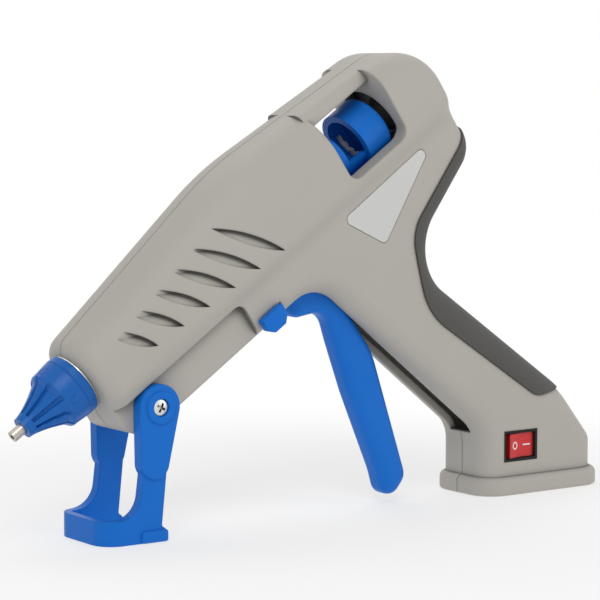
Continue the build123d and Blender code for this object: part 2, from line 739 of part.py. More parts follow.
# Left shell: switch opening and the pocket of the plate
with BuildPart() as left_shell:
    add(blank)
    with BuildSketch(Plane.XZ.offset(GRIP_INNER - 1)):
        with Locations((SWITCH_X, SWITCH_HEIGHT)):
            Rectangle(SWITCH_WIDTH + 2 * SEAT_FIT, SWITCH_TALL + 2 * SEAT_FIT)
    extrude(amount=FAR, mode=Mode.SUBTRACT)
    with BuildSketch(BARREL.offset(GRIP_HALF - PLATE_SUNK)):
        add(plate_outline(PLATE_GAP))
    extrude(amount=FAR, mode=Mode.SUBTRACT)
    with BuildSketch(Plane.XZ):
        with Locations(*case_screw_places()):
            Circle(SCREW_RADIUS + SEAT_FIT)
    extrude(amount=SCREW_REACH + 1, mode=Mode.SUBTRACT)
left_shell.part.label = "left_shell"

# Right shell: through holes and head seats of the case screws
with BuildPart() as right_shell:
    add(mirror(blank, about=Plane.XZ))
    add(mirror(head_tubes(housing_half(ROOT)), about=Plane.XZ))
    with BuildSketch(Plane.XZ):
        with Locations(*case_screw_places()):
            Circle(SCREW_RADIUS + SEAT_FIT)
    extrude(amount=-FAR, mode=Mode.SUBTRACT)
    with BuildSketch(Plane.XZ.offset(-SCREW_SEAT)):
        with Locations(*case_screw_places()):
            Circle(SCREW_HEAD_RADIUS + MOVE_GAP)
    extrude(amount=-FAR, mode=Mode.SUBTRACT)
right_shell.part.label = "right_shell"

# Soft back strap, one piece round both shells
with BuildPart() as soft_grip:
    add(housing_half(-STRAP_PROUD))
    add(strap_region(STRAP_GAP), mode=Mode.INTERSECT)
    add(housing_half(STRAP_SUNK - STRAP_GAP), mode=Mode.SUBTRACT)
    mirror(about=Plane.XZ)
soft_grip.part.label = "soft_grip"

# Bare plate
with BuildPart() as label_plate:
    with BuildSketch(BARREL.offset(GRIP_HALF - PLATE_SUNK)):
        add(plate_outline(0))
    extrude(amount=PLATE_THICK)
label_plate.part.label = "label_plate"

# Case screws, driven from the right side
with BuildPart() as case_screws:
    with BuildSketch(Plane.XZ.offset(SCREW_REACH)):
        with Locations(*case_screw_places()):
            Circle(SCREW_RADIUS)
    extrude(amount=-SCREW_REACH - SCREW_SEAT)
    with BuildSketch(Plane.XZ.offset(-SCREW_SEAT)):
        with Locations(*case_screw_places()):
            Circle(SCREW_HEAD_RADIUS)
    extrude(amount=-SCREW_HEAD_HEIGHT)
case_screws.part.label = "case_screws"

# Nozzle with hexagon, flange and thread
with BuildPart() as nozzle:
    with BuildSketch(BARREL):
        with BuildLine():
            Polyline((-TIP_LEAD, TIP_BORE), (-TIP_LEAD, TIP_RADIUS), (NOZZLE_CONE_START, TIP_RADIUS),
                     (NOZZLE_HEX_FRONT, NOZZLE_HEX / 2), (NOZZLE_FLANGE_FRONT, NOZZLE_HEX / 2),
                     (NOZZLE_FLANGE_FRONT, CHAMBER_NECK_RADIUS), (CHAMBER_FRONT, CHAMBER_NECK_RADIUS),
                     (CHAMBER_FRONT, THREAD_RADIUS), (CHAMBER_FRONT + THREAD_LENGTH, THREAD_RADIUS),
                     (CHAMBER_FRONT + THREAD_LENGTH, NOZZLE_BORE), (NOZZLE_HEX_FRONT, NOZZLE_BORE),
                     (NOZZLE_CONE_START, TIP_BORE), close=True)
        make_face()
    revolve(axis=BARREL_AXIS)
    with BuildSketch(across(NOZZLE_HEX_FRONT)):
        RegularPolygon(NOZZLE_HEX / 2, 6, major_radius=False)
        Circle(NOZZLE_BORE, mode=Mode.SUBTRACT)
    extrude(amount=NOZZLE_FLANGE_FRONT - NOZZLE_HEX_FRONT)
nozzle.part.label = "nozzle"

# Insulating sleeve, slotted along its cone
with BuildPart() as nozzle_sleeve:
    neck_bore = CHAMBER_NECK_RADIUS + SEAT_FIT
    bore_front = NOZZLE_HEX_FRONT - MOVE_GAP
    with BuildSketch(BARREL):
        with BuildLine():
            Polyline((SLEEVE_FRONT, TIP_RADIUS + SEAT_FIT), (SLEEVE_FRONT, SLEEVE_MOUTH),
                     (SLEEVE_BAND_FRONT, SLEEVE_WAIST), (SLEEVE_BAND_FRONT, SLEEVE_BAND_RADIUS),
                     (SLEEVE_REAR, SLEEVE_BAND_REAR_RADIUS), (SLEEVE_REAR, neck_bore),
                     (bore_front, neck_bore), (bore_front, SLEEVE_WAIST - SLEEVE_WALL),
                     (NOZZLE_CONE_START, TIP_RADIUS + SEAT_FIT), close=True)
        make_face()
    revolve(axis=BARREL_AXIS)
    band = nozzle_sleeve.edges().filter_by(GeomType.CIRCLE).filter_by(
        lambda e: e.radius > SLEEVE_BAND_REAR_RADIUS - 0.1)
    chamfer(band, SLEEVE_BAND_EDGE)
    slot_rise = math.degrees(math.atan((SLEEVE_WAIST - SLEEVE_MOUTH) / (SLEEVE_BAND_FRONT - SLEEVE_FRONT)))
    slot_middle = across((SLEEVE_FRONT + SLEEVE_BAND_FRONT) / 2 + SLEEVE_SLOT_SET)
    with Locations(slot_middle):
        with PolarLocations((SLEEVE_MOUTH + SLEEVE_WAIST) / 2, SLEEVE_SLOTS):
            with Locations(Location((0, 0, 0), (0, slot_rise, 0))):
                Box(2 * SLEEVE_SLOT_DEPTH, SLEEVE_SLOT_WIDTH, SLEEVE_BAND_FRONT - 2 * SLEEVE_FRONT,
                    mode=Mode.SUBTRACT)
nozzle_sleeve.part.label = "nozzle_sleeve"

# Bright collar between sleeve and housing
with BuildPart() as nozzle_collar:
    with BuildSketch(across(SLEEVE_REAR)):
        Circle(COLLAR_RADIUS)
        Circle(CHAMBER_NECK_RADIUS + SEAT_FIT, mode=Mode.SUBTRACT)
    extrude(amount=FACE_U - SLEEVE_REAR)
    collar_edges = nozzle_collar.edges().filter_by(GeomType.CIRCLE)
    chamfer(collar_edges.filter_by(lambda e: e.radius > COLLAR_RADIUS - 0.1), COLLAR_EDGE)
nozzle_collar.part.label = "nozzle_collar"

# Melt chamber: neck, body, mouth, and the flat that the heater lies on
with BuildPart() as melt_chamber:
    with BuildSketch(BARREL):
        with BuildLine():
            Polyline((CHAMBER_FRONT, 0), (CHAMBER_FRONT, CHAMBER_NECK_RADIUS),
                     (CHAMBER_BODY_FRONT, CHAMBER_NECK_RADIUS), (CHAMBER_BODY_FRONT, CHAMBER_RADIUS),
                     (CHAMBER_BODY_REAR, CHAMBER_RADIUS), (CHAMBER_BODY_REAR, CHAMBER_MOUTH_RADIUS),
                     (CHAMBER_REAR, CHAMBER_MOUTH_RADIUS), (CHAMBER_REAR, 0), close=True)
        make_face()
    revolve(axis=BARREL_AXIS)
    with BuildSketch(BARREL):
        with Locations(((PAD_FRONT + PAD_REAR) / 2, -PAD_DROP / 2)):
            Rectangle(PAD_REAR - PAD_FRONT, PAD_DROP)
    extrude(amount=PAD_HALF, both=True)
    thread_end = CHAMBER_FRONT + THREAD_LENGTH
    with BuildSketch(BARREL):
        with BuildLine():
            Polyline((CHAMBER_FRONT, 0), (CHAMBER_FRONT, THREAD_RADIUS + SEAT_FIT),
                     (thread_end, THREAD_RADIUS + SEAT_FIT), (thread_end, NOZZLE_BORE),
                     (CHAMBER_BODY_FRONT, NOZZLE_BORE), (CHAMBER_TAPER_REAR, CHAMBER_BORE),
                     (CHAMBER_REAR, CHAMBER_BORE), (CHAMBER_REAR, 0), close=True)
        make_face()
    revolve(axis=BARREL_AXIS, mode=Mode.SUBTRACT)
    clamp_places = [(PAD_FRONT + CLAMP_SCREW_INSET, 0), (PAD_REAR - CLAMP_SCREW_INSET, 0)]
    under = Plane(origin=BARREL.from_local_coords((0, -PAD_DROP, 0)), x_dir=BARREL.x_dir, z_dir=(SIN, 0, -COS))
    with BuildSketch(under):
        with Locations(*clamp_places):
            Circle(CLAMP_SCREW_RADIUS + SEAT_FIT)
    extrude(amount=-CLAMP_SCREW_DEPTH, mode=Mode.SUBTRACT)
melt_chamber.part.label = "melt_chamber"

# Two heating plates under the flat
heater_middle = (PAD_FRONT + PAD_REAR) / 2
heater_step = HEATER_LENGTH + HEATER_SPACE
with BuildPart() as heater_plates:
    with BuildSketch(under):
        with Locations((heater_middle, 0)):
            with GridLocations(heater_step, 0, 2, 1):
                Rectangle(HEATER_LENGTH, 2 * HEATER_HALF)
    extrude(amount=HEATER_THICK)
heater_plates.part.label = "heater_plates"

# Clamp plate with feet that stand on the flat
clamp_face = under.offset(HEATER_THICK)
with BuildPart() as heater_clamp:
    with BuildSketch(clamp_face):
        with Locations((heater_middle, 0)):
            RectangleRounded(PAD_REAR - PAD_FRONT, 2 * PAD_HALF, CLAMP_CORNER)
    extrude(amount=CLAMP_THICK)
    with BuildSketch(under):
        with Locations(*clamp_places):
            Circle(CLAMP_HEAD_RADIUS)
    extrude(amount=HEATER_THICK)
    with BuildSketch(under):
        with Locations(*clamp_places):
            Circle(CLAMP_SCREW_RADIUS + SEAT_FIT)
    extrude(amount=HEATER_THICK + CLAMP_THICK, mode=Mode.SUBTRACT)
heater_clamp.part.label = "heater_clamp"

with BuildPart() as clamp_screws:
    with BuildSketch(under.offset(-CLAMP_SCREW_DEPTH)):
        with Locations(*clamp_places):
            Circle(CLAMP_SCREW_RADIUS)
    extrude(amount=CLAMP_SCREW_DEPTH + HEATER_THICK + CLAMP_THICK)
    with BuildSketch(clamp_face.offset(CLAMP_THICK)):
        with Locations(*clamp_places):
            Circle(CLAMP_HEAD_RADIUS)
    extrude(amount=CLAMP_HEAD_HEIGHT)
clamp_screws.part.label = "clamp_screws"

# Soft seal over the chamber mouth, and the clip round it
with BuildPart() as inlet_seal:
    with BuildSketch(BARREL):
        with BuildLine():
            mouth = CHAMBER_MOUTH_RADIUS + SEAT_FIT
            Polyline((SEAL_FRONT, mouth), (SEAL_FRONT, SEAL_RADIUS), (SEAL_REAR, SEAL_RADIUS),
                     (SEAL_REAR, SEAL_BORE + SEAL_LEAD_IN / 2), (SEAL_REAR - SEAL_LEAD_IN, SEAL_BORE),
                     (CHAMBER_REAR, SEAL_BORE), (CHAMBER_REAR, mouth), close=True)
        make_face()
    revolve(axis=BARREL_AXIS)
inlet_seal.part.label = "inlet_seal"

with BuildPart() as seal_clip:
    with BuildSketch(across(SEAL_FRONT + CLIP_SET)):
        Circle(SEAL_RADIUS + SEAT_FIT + CLIP_THICK)
        Circle(SEAL_RADIUS + SEAT_FIT, mode=Mode.SUBTRACT)
    extrude(amount=CLIP_WIDTH)
seal_clip.part.label = "seal_clip"

# Stick tube, held in the hump by its flange
with BuildPart() as stick_tube:
    tube_front = WINDOW_REAR + TUBE_FRONT_SET
    # The back wall is rounded inside, so the tube ends where its upper side clears that round.
    hump_inner = HUMP_ROUND - WALL
    tube_reach = TUBE_RADIUS + HUMP_ROUND - HUMP_TOP
    tube_rear = HUMP_U - WALL - MOVE_GAP - hump_inner + math.sqrt(hump_inner ** 2 - tube_reach ** 2)
    with BuildSketch(BARREL):
        with BuildLine():
            Polyline((tube_front, TUBE_BORE), (tube_front, TUBE_RADIUS), (tube_rear, TUBE_RADIUS),
                     (tube_rear, TUBE_MOUTH), (tube_rear - TUBE_LEAD_IN, TUBE_BORE), close=True)
        make_face()
    revolve(axis=BARREL_AXIS)
    with BuildSketch(across(TUBE_FLANGE_FRONT)):
        Rectangle(2 * GRIP_INNER, 2 * TUBE_FLANGE_HALF)
        Circle((TUBE_BORE + TUBE_RADIUS) / 2, mode=Mode.SUBTRACT)
    extrude(amount=TUBE_FLANGE_THICK)
stick_tube.part.label = "stick_tube"

# Feed carriage: cheeks with trunnions, front ring, trough and rear cup
fin_top = WINDOW_FLOOR - WALL - MOVE_GAP
with BuildPart() as feed_carriage:
    with BuildSketch(across(RING_FRONT)):
        Circle(TROUGH_OUTER)
    extrude(amount=CUP_FRONT - RING_FRONT + 1)
    with BuildSketch(across(CUP_FRONT)):
        Circle(CUP_RADIUS)
    extrude(amount=CUP_REAR - CUP_FRONT)
    fillet(feed_carriage.faces().sort_by(lambda f: along(f.center()))[-1].edges(), CUP_EDGE)
    cheek = barrel_box(CHEEK_FRONT, RING_FRONT + 1, -CHEEK_HALF_HEIGHT, CHEEK_HALF_HEIGHT,
                       CHEEK_INNER, CHEEK_OUTER)
    fin = barrel_box(RING_FRONT, CUP_REAR, fin_top - FIN_THICK, fin_top, 0, FIN_HALF)
    add([cheek, fin])
    with BuildSketch(BARREL.offset(CHEEK_INNER)):
        with Locations((TRUNNION_U, 0)):
            Circle(TRUNNION_RADIUS)
    extrude(amount=HUB_HALF - CHEEK_INNER)
    split(bisect_by=Plane.XZ)
    mirror(about=Plane.XZ)
    with BuildSketch(BARREL):
        with Locations((LUG_U, LUG_V)):
            Circle(LUG_RADIUS)
        with Locations((LUG_U, (LUG_V - CUP_RADIUS + 1) / 2)):
            Rectangle(2 * LUG_RADIUS, 1 - LUG_V - CUP_RADIUS)
    extrude(amount=LUG_HALF, both=True)
    # Open the trough on top, then bore the carriage through
    add(barrel_box(RING_REAR, CUP_FRONT, TROUGH_TOP, FAR, -FAR, FAR), mode=Mode.SUBTRACT)
    with BuildSketch(across(RING_FRONT - 1)):
        Circle(TROUGH_INNER)
    extrude(amount=CUP_FRONT - RING_FRONT + 1, mode=Mode.SUBTRACT)
    with BuildSketch(across(CUP_FRONT)):
        Circle(CUP_INNER)
    extrude(amount=CUP_FLOOR - CUP_FRONT, mode=Mode.SUBTRACT)
    with BuildSketch(across(CUP_FLOOR - 1)):
        Circle(STICK_BORE)
    extrude(amount=CUP_REAR - CUP_FLOOR + 2, mode=Mode.SUBTRACT)
    # Pocket and pin hole of the gripper
    pocket = GRIPPER_TAB_HALF + MOVE_GAP
    add(barrel_box(GRIPPER_U - 2 * GRIPPER_THICK, GRIPPER_U + 2 * GRIPPER_THICK, -FAR,
                   -CUP_INNER + GRIPPER_POCKET_RISE, -pocket, pocket), mode=Mode.SUBTRACT)
    with BuildSketch(BARREL):
        with Locations((GRIPPER_U, GRIPPER_PIN_V)):
            Circle(GRIPPER_PIN_RADIUS + SEAT_FIT)
    extrude(amount=FAR, both=True, mode=Mode.SUBTRACT)
feed_carriage.part.label = "feed_carriage"

# Gripper: horseshoe plate with teeth round its lower half
with BuildPart() as stick_gripper:
    with BuildSketch(across(GRIPPER_U - GRIPPER_THICK / 2)):
        Circle(GRIPPER_OUTER)
        Circle(GRIPPER_INNER + GRIPPER_TOOTH, mode=Mode.SUBTRACT)
        with PolarLocations(GRIPPER_INNER + GRIPPER_TOOTH / 2 + GRIPPER_TOOTH_SHIFT, GRIPPER_TEETH, 180, 180):
            Triangle(A=90, b=GRIPPER_TOOTH_SIDE, c=GRIPPER_TOOTH_SIDE, rotation=135)
        with Locations((0, GRIPPER_OUTER / 2 + 1)):
            Rectangle(3 * GRIPPER_OUTER, GRIPPER_OUTER, mode=Mode.SUBTRACT)
        Circle(GRIPPER_INNER, mode=Mode.SUBTRACT)
        with Locations((0, (GRIPPER_PIN_V - GRIPPER_OUTER) / 2)):
            Rectangle(2 * GRIPPER_TAB_HALF, GRIPPER_OUTER + GRIPPER_PIN_V + 4 * GRIPPER_PIN_RADIUS)
    extrude(amount=GRIPPER_THICK)
    with BuildSketch(BARREL):
        with Locations((GRIPPER_U, GRIPPER_PIN_V)):
            Circle(2 * GRIPPER_PIN_RADIUS)
    extrude(amount=GRIPPER_TAB_HALF, both=True)
    with BuildSketch(BARREL):
        with Locations((GRIPPER_U, GRIPPER_PIN_V)):
            Circle(GRIPPER_PIN_RADIUS + RUN_FIT)
    extrude(amount=FAR, both=True, mode=Mode.SUBTRACT)
stick_gripper.part.label = "stick_gripper"

with BuildPart() as gripper_pin:
    with BuildSketch(BARREL):
        with Locations((GRIPPER_U, GRIPPER_PIN_V)):
            Circle(GRIPPER_PIN_RADIUS)
    extrude(amount=GRIPPER_PIN_HALF, both=True)
gripper_pin.part.label = "gripper_pin"

# Trigger: finger lever, hub, and two prongs that push the carriage trunnions
prong_lean = math.degrees(math.atan2(TRUNNION_U - PIVOT_U, -PIVOT_V))
with BuildPart() as trigger:
    with BuildSketch(BARREL):
        with BuildLine():
            outline = [(PIVOT_U + du, PIVOT_V + dv) for du, dv in TRIGGER_OUTLINE]
            FilletPolyline(*outline, radius=TRIGGER_ROUNDS, close=True)
        make_face()
    extrude(amount=TRIGGER_HALF, both=True)
    lever_edges = trigger.edges().filter_by(
        lambda e: abs(e.center().Y) > TRIGGER_HALF - 0.1 and above(e.center()) < PIVOT_V - HUB_RADIUS - 8)
    fillet(lever_edges, TRIGGER_ROUND)
    with BuildSketch(BARREL):
        with Locations((PIVOT_U, PIVOT_V)):
            Circle(HUB_RADIUS)
    extrude(amount=TRIGGER_HALF, both=True)
    with BuildSketch(BARREL):
        with Locations((PIVOT_U, PIVOT_V)):
            Circle(HUB_END_RADIUS)
    extrude(amount=HUB_HALF, both=True)
    prong_reach = -PIVOT_V + PRONG_TOP
    with BuildSketch(BARREL.offset(PRONG_INNER)):
        with Locations(Location((PIVOT_U, PIVOT_V, 0), (0, 0, -prong_lean))):
            with Locations((0, prong_reach / 2)):
                Rectangle(2 * PRONG_HALF_WIDTH, prong_reach)
            with Locations((0, prong_reach)):
                Rectangle(2 * (TRUNNION_RADIUS + MOVE_GAP / 2), 4 * PRONG_TOP, mode=Mode.SUBTRACT)
    extrude(amount=HUB_HALF - PRONG_INNER)
    split(bisect_by=Plane.XZ)
    mirror(about=Plane.XZ)
    with BuildSketch(BARREL):
        with Locations((PIVOT_U, PIVOT_V)):
            Circle(PIVOT_RADIUS + RUN_FIT)
    extrude(amount=FAR, both=True, mode=Mode.SUBTRACT)
trigger.part.label = "trigger"

with BuildPart() as trigger_pin:
    with BuildSketch(BARREL):
        with Locations((PIVOT_U, PIVOT_V)):
            Circle(PIVOT_RADIUS)
    extrude(amount=GRIP_HALF - PIVOT_END - SEAT_FIT, both=True)
trigger_pin.part.label = "trigger_pin"

# Springs
return_start = LUG_U + LUG_RADIUS + RETURN_WIRE_RADIUS + MOVE_GAP
return_length = RETURN_PEG_U - RETURN_PEG_RADIUS - RETURN_WIRE_RADIUS - MOVE_GAP - return_start
return_pitch = return_length / RETURN_TURNS
x, z = on_barrel(return_start, LUG_V - RETURN_COIL_RADIUS)
return_spring = coil((x, 0, z), return_pitch, RETURN_TURNS, RETURN_COIL_RADIUS, RETURN_WIRE_RADIUS)
return_spring.label = "return_spring"
print("return spring gap between turns", round(return_pitch - 2 * RETURN_WIRE_RADIUS, 2))

latch_back = LATCH_FRONT + LATCH_LENGTH - LATCH_BAR_INSET
latch_spring_start = latch_back + LATCH_WIRE_RADIUS + SEAT_FIT
latch_spring_length = LATCH_STOP - LATCH_WIRE_RADIUS - SEAT_FIT - latch_spring_start
latch_pitch = latch_spring_length / LATCH_TURNS
x, z = on_barrel(latch_spring_start, (LATCH_BAR_TOP + LATCH_BAR_LOW) / 2)
latch_spring = coil((x, 0, z), latch_pitch, LATCH_TURNS, LATCH_COIL_RADIUS, LATCH_WIRE_RADIUS)
latch_spring.label = "latch_spring"
print("latch spring gap between turns", round(latch_pitch - 2 * LATCH_WIRE_RADIUS, 2))

# Stand latch: a bar through the housing with a six-sided button at each end
with BuildPart() as stand_latch:
    button_inner = GRIP_HALF + MOVE_GAP
    with BuildSketch(BARREL.offset(button_inner)):
        with Locations((LATCH_FRONT + LATCH_LENGTH / 2, (LATCH_LOW + LATCH_TOP) / 2)):
            Rectangle(LATCH_LENGTH, LATCH_TOP - LATCH_LOW)
    extrude(amount=LATCH_THICK)
    corners = stand_latch.edges().filter_by(Axis.Y)
    chamfer(corners.sort_by(lambda e: above(e.center()))[:2], LATCH_CORNER)
    fillet(stand_latch.faces().sort_by(Axis.Y)[0].edges(), LATCH_EDGE)
    add(barrel_box(LATCH_FRONT + LATCH_BAR_INSET, latch_back, LATCH_BAR_LOW, LATCH_BAR_TOP, 0,
                   button_inner))
    mirror(about=Plane.XZ)
stand_latch.part.label = "stand_latch"

# Nose stand: two arms, legs and a foot loop
pivot_x, pivot_z = on_barrel(*STAND_PIVOT)
arm_inner = STEP_HALF + MOVE_GAP
knee = pivot_z - LEG_KNEE
with BuildPart() as stand:
    with BuildSketch(Plane.XZ.offset(arm_inner)):
        with BuildLine():
            FilletPolyline((pivot_x + LEG_FRONT_TOP, pivot_z), (pivot_x + LEG_FRONT_TOP, knee),
                           (pivot_x + LEG_FRONT_TOP + LEG_LEAN, FOOT_HEIGHT),
                           (pivot_x + FOOT_FRONT, FOOT_HEIGHT), (pivot_x + FOOT_FRONT, 0),
                           (pivot_x + FOOT_PAD_BACK, 0), (pivot_x + FOOT_PAD_BACK, FOOT_PAD_HEIGHT),
                           (pivot_x + LEG_BACK_TOP + LEG_LEAN, FOOT_PAD_HEIGHT + FOOT_PAD_ROUND),
                           (pivot_x + LEG_BACK_TOP, knee), (pivot_x + LEG_BACK_TOP, pivot_z),
                           radius=(0, FOOT_BEND, FOOT_BEND, 0, 0, FOOT_PAD_ROUND, FOOT_PAD_ROUND,
                                   FOOT_PAD_ROUND, FOOT_BEND, 0), close=True)
        make_face()
    extrude(amount=LEG_THICK)
    with BuildSketch(Plane.XZ.offset(arm_inner)) as arm:
        with Locations((pivot_x, pivot_z)):
            Circle(HEAD_RADIUS)
        with Locations((pivot_x + TONGUE_LEAN, pivot_z - TONGUE_DROP)):
            Circle(TONGUE_RADIUS)
        make_hull()
    extrude(amount=ARM_THICK)
    outer_rim = stand.faces().sort_by(Axis.Y)[0].edges()
    fillet(outer_rim, ARM_EDGE)
    with BuildSketch(Plane.XZ.offset(arm_inner + ARM_THICK - 0.1)):
        with Locations((pivot_x, pivot_z)):
            Circle(HEAD_RING_RADIUS)
    extrude(amount=HEAD_RING_HEIGHT + 0.1)
    # Bore for the housing's axle, and the sunk seat of the screw head
    with BuildSketch(Plane.XZ.offset(arm_inner)):
        with Locations((pivot_x, pivot_z)):
            Circle(STAND_AXLE_RADIUS + RUN_FIT)
    extrude(amount=STAND_AXLE_LENGTH, mode=Mode.SUBTRACT)
    with BuildSketch(Plane.XZ):
        with Locations((pivot_x, pivot_z)):
            Circle(STAND_SCREW_RADIUS + RUN_FIT)
    extrude(amount=FAR, mode=Mode.SUBTRACT)
    with BuildSketch(Plane.XZ.offset(arm_inner + ARM_THICK + HEAD_RING_HEIGHT - STAND_HEAD_SINK)):
        with Locations((pivot_x, pivot_z)):
            Circle(SCREW_HEAD_RADIUS + MOVE_GAP)
    extrude(amount=FAR, mode=Mode.SUBTRACT)
    # Cross bar of the foot loop
    with BuildSketch(Plane.XZ):
        with BuildLine():
            Polyline((pivot_x + FOOT_FRONT, 0), (pivot_x + FOOT_FRONT + FOOT_BAR, 0),
                     (pivot_x + FOOT_FRONT + FOOT_BAR, FOOT_HEIGHT), (pivot_x + FOOT_FRONT, FOOT_HEIGHT),
                     close=True)
        make_face()
    extrude(amount=arm_inner + LEG_THICK)
    loop_corners = stand.edges().filter_by(Axis.Z).filter_by(
        lambda e: e.center().X < pivot_x + FOOT_FRONT + FOOT_BAR + 0.1 and e.center().Y < -1)
    fillet(loop_corners.sort_by(Axis.X)[0], FOOT_CORNER)
    fillet(loop_corners.sort_by(Axis.X)[-1], FOOT_INNER_CORNER)
    mirror(about=Plane.XZ)
stand.part.label = "stand"

with BuildPart() as stand_screws:
    seat = arm_inner + ARM_THICK + HEAD_RING_HEIGHT - STAND_HEAD_SINK
    with BuildSketch(Plane.XZ.offset(seat)):
        with Locations((pivot_x, pivot_z)):
            Circle(SCREW_HEAD_RADIUS)
    extrude(amount=STAND_HEAD_SINK - MOVE_GAP)
    with BuildSketch(Plane.XZ.offset(seat)):
        with Locations((pivot_x, pivot_z)):
            Circle(STAND_SCREW_RADIUS)
    extrude(amount=-STAND_SCREW_LENGTH)
    mirror(about=Plane.XZ)
stand_screws.part.label = "stand_screws"

# Rocker switch: housing clamped behind the wall, rocker and terminals
switch_front = GRIP_HALF
rocker_y = GRIP_HALF - ROCKER_PIVOT_DEPTH
inner_tall = SWITCH_TALL - 2 * SWITCH_RIM
with BuildPart() as switch_housing:
    with BuildSketch(Plane.XZ.offset(switch_front - SWITCH_DEPTH)):
        with Locations((SWITCH_X, SWITCH_HEIGHT)):
            Rectangle(SWITCH_WIDTH, SWITCH_TALL)
    extrude(amount=SWITCH_DEPTH)
    with BuildSketch(Plane.XZ.offset(GRIP_INNER - SWITCH_FLANGE_THICK)):
        with Locations((SWITCH_X, SWITCH_HEIGHT)):
            Rectangle(SWITCH_WIDTH + 2 * SWITCH_FLANGE, SWITCH_TALL + 2 * SWITCH_FLANGE)
    extrude(amount=SWITCH_FLANGE_THICK)
    with BuildSketch(Plane.XZ.offset(switch_front - SWITCH_POCKET)):
        with Locations((SWITCH_X, SWITCH_HEIGHT)):
            Rectangle(SWITCH_WIDTH - 2 * SWITCH_RIM, inner_tall)
    extrude(amount=SWITCH_POCKET, mode=Mode.SUBTRACT)
    with BuildSketch(Plane.XY.offset(SWITCH_HEIGHT)):
        with Locations((SWITCH_X, -rocker_y)):
            Circle(ROCKER_PIN_RADIUS + RUN_FIT)
    extrude(amount=inner_tall / 2 + ROCKER_PIN_REACH, both=True, mode=Mode.SUBTRACT)
switch_housing.part.label = "switch_housing"

rocker_turn = math.radians(ROCKER_TILT)
rocker_plane = Plane(origin=(SWITCH_X, -rocker_y, SWITCH_HEIGHT),
                     x_dir=(math.cos(rocker_turn), math.sin(rocker_turn), 0), z_dir=(0, 0, 1))
with BuildPart() as switch_rocker:
    with BuildSketch(rocker_plane):
        with BuildLine():
            Polyline((0, -ROCKER_RISE), (ROCKER_HALF, -ROCKER_RISE - ROCKER_DISH),
                     (ROCKER_HALF, -ROCKER_SIDE_FOOT),
                     (ROCKER_HALF / 2, ROCKER_KEEL), (-ROCKER_HALF / 2, ROCKER_KEEL),
                     (-ROCKER_HALF, -ROCKER_SIDE_FOOT),
                     (-ROCKER_HALF, -ROCKER_RISE - ROCKER_DISH), close=True)
        make_face()
    extrude(amount=inner_tall / 2 - MOVE_GAP, both=True)
    with BuildSketch(rocker_plane):
        Circle(ROCKER_PIN_RADIUS)
    extrude(amount=inner_tall / 2 + ROCKER_PIN_REACH - RUN_FIT, both=True)
switch_rocker.part.label = "switch_rocker"

with BuildPart() as switch_terminals:
    with BuildSketch(Plane.XZ.offset(switch_front - SWITCH_DEPTH)):
        with Locations((SWITCH_X, SWITCH_HEIGHT)):
            with GridLocations(TERMINAL_PITCH, 0, 3, 1):
                Rectangle(TERMINAL_THICK, TERMINAL_WIDTH)
    extrude(amount=-TERMINAL_REACH)
switch_terminals.part.label = "switch_terminals"

# Cord gland in the back wall of the base
with BuildPart() as cord_gland:
    with BuildSketch(Plane.XZ):
        with BuildLine():
            wall_in = BASE_BACK_X - WALL - MOVE_GAP
            wall_out = BASE_BACK_X + SEAT_FIT
            axis_z = GLAND_HEIGHT
            neck = (GLAND_BORE + GLAND_NECK) / 2
            Polyline((wall_in - GLAND_IN, axis_z + GLAND_BORE), (wall_in - GLAND_IN, axis_z + GLAND_FLANGE),
                     (wall_in, axis_z + GLAND_FLANGE), (wall_in, axis_z + neck), (wall_out, axis_z + neck),
                     (wall_out, axis_z + GLAND_FLANGE),
                     (wall_out + GLAND_OUT, axis_z + GLAND_FLANGE - GLAND_TAPER),
                     (wall_out + GLAND_OUT, axis_z + GLAND_BORE), close=True)
        make_face()
    revolve(axis=Axis((0, 0, GLAND_HEIGHT), (1, 0, 0)))
    with BuildSketch(Plane.YZ.offset(wall_in)):
        with Locations((0, GLAND_HEIGHT)):
            RegularPolygon(GLAND_NECK, GLAND_SIDES, major_radius=False)
            Circle(GLAND_BORE, mode=Mode.SUBTRACT)
    extrude(amount=wall_out - wall_in)
cord_gland.part.label = "cord_gland"

# Inner leads from the heater down the grip: one to the switch, one to the splice
terminal_x = SWITCH_X + TERMINAL_PITCH
terminal_y = -(switch_front - SWITCH_DEPTH) + TERMINAL_REACH / 2
lead_start = PAD_REAR - CLAMP_SCREW_INSET + CLAMP_HEAD_RADIUS + LEAD_START_GAP


def lead_points(side):
    """Corner points of one lead, on the given side of the seam."""
    points = [on_barrel(lead_start, LEAD_V), on_barrel(*LEAD_TURN), on_barrel(*LEAD_NECK),
              on_barrel(*LEAD_GRIP)]
    return [(px, side * LEAD_SIDE, pz) for px, pz in points]


def lead(points, bends):
    """Round lead along points, with a tangent bend at each corner."""
    with BuildPart() as wire:
        with BuildLine() as path:
            FilletPolyline(*points, radius=bends)
        with BuildSketch(Plane(origin=path.line @ 0, z_dir=path.line % 0)):
            Circle(LEAD_RADIUS)
        sweep(path=path.line)
    return wire.part


switch_drop = [(terminal_x, terminal_y, LEAD_DROP_HEIGHT),
               (terminal_x, terminal_y, SWITCH_HEIGHT + TERMINAL_WIDTH / 2 + SEAT_FIT)]
switch_lead = lead(lead_points(1) + switch_drop, LEAD_BENDS)
splice_end = (BASE_FRONT_X + SPLICE_RUN, -LEAD_SIDE, SPLICE_HEIGHT)
splice_lead = lead(lead_points(-1) + [splice_end], LEAD_BENDS[:3])
heater_leads = Compound(children=[switch_lead, splice_lead])
heater_leads.label = "heater_leads"

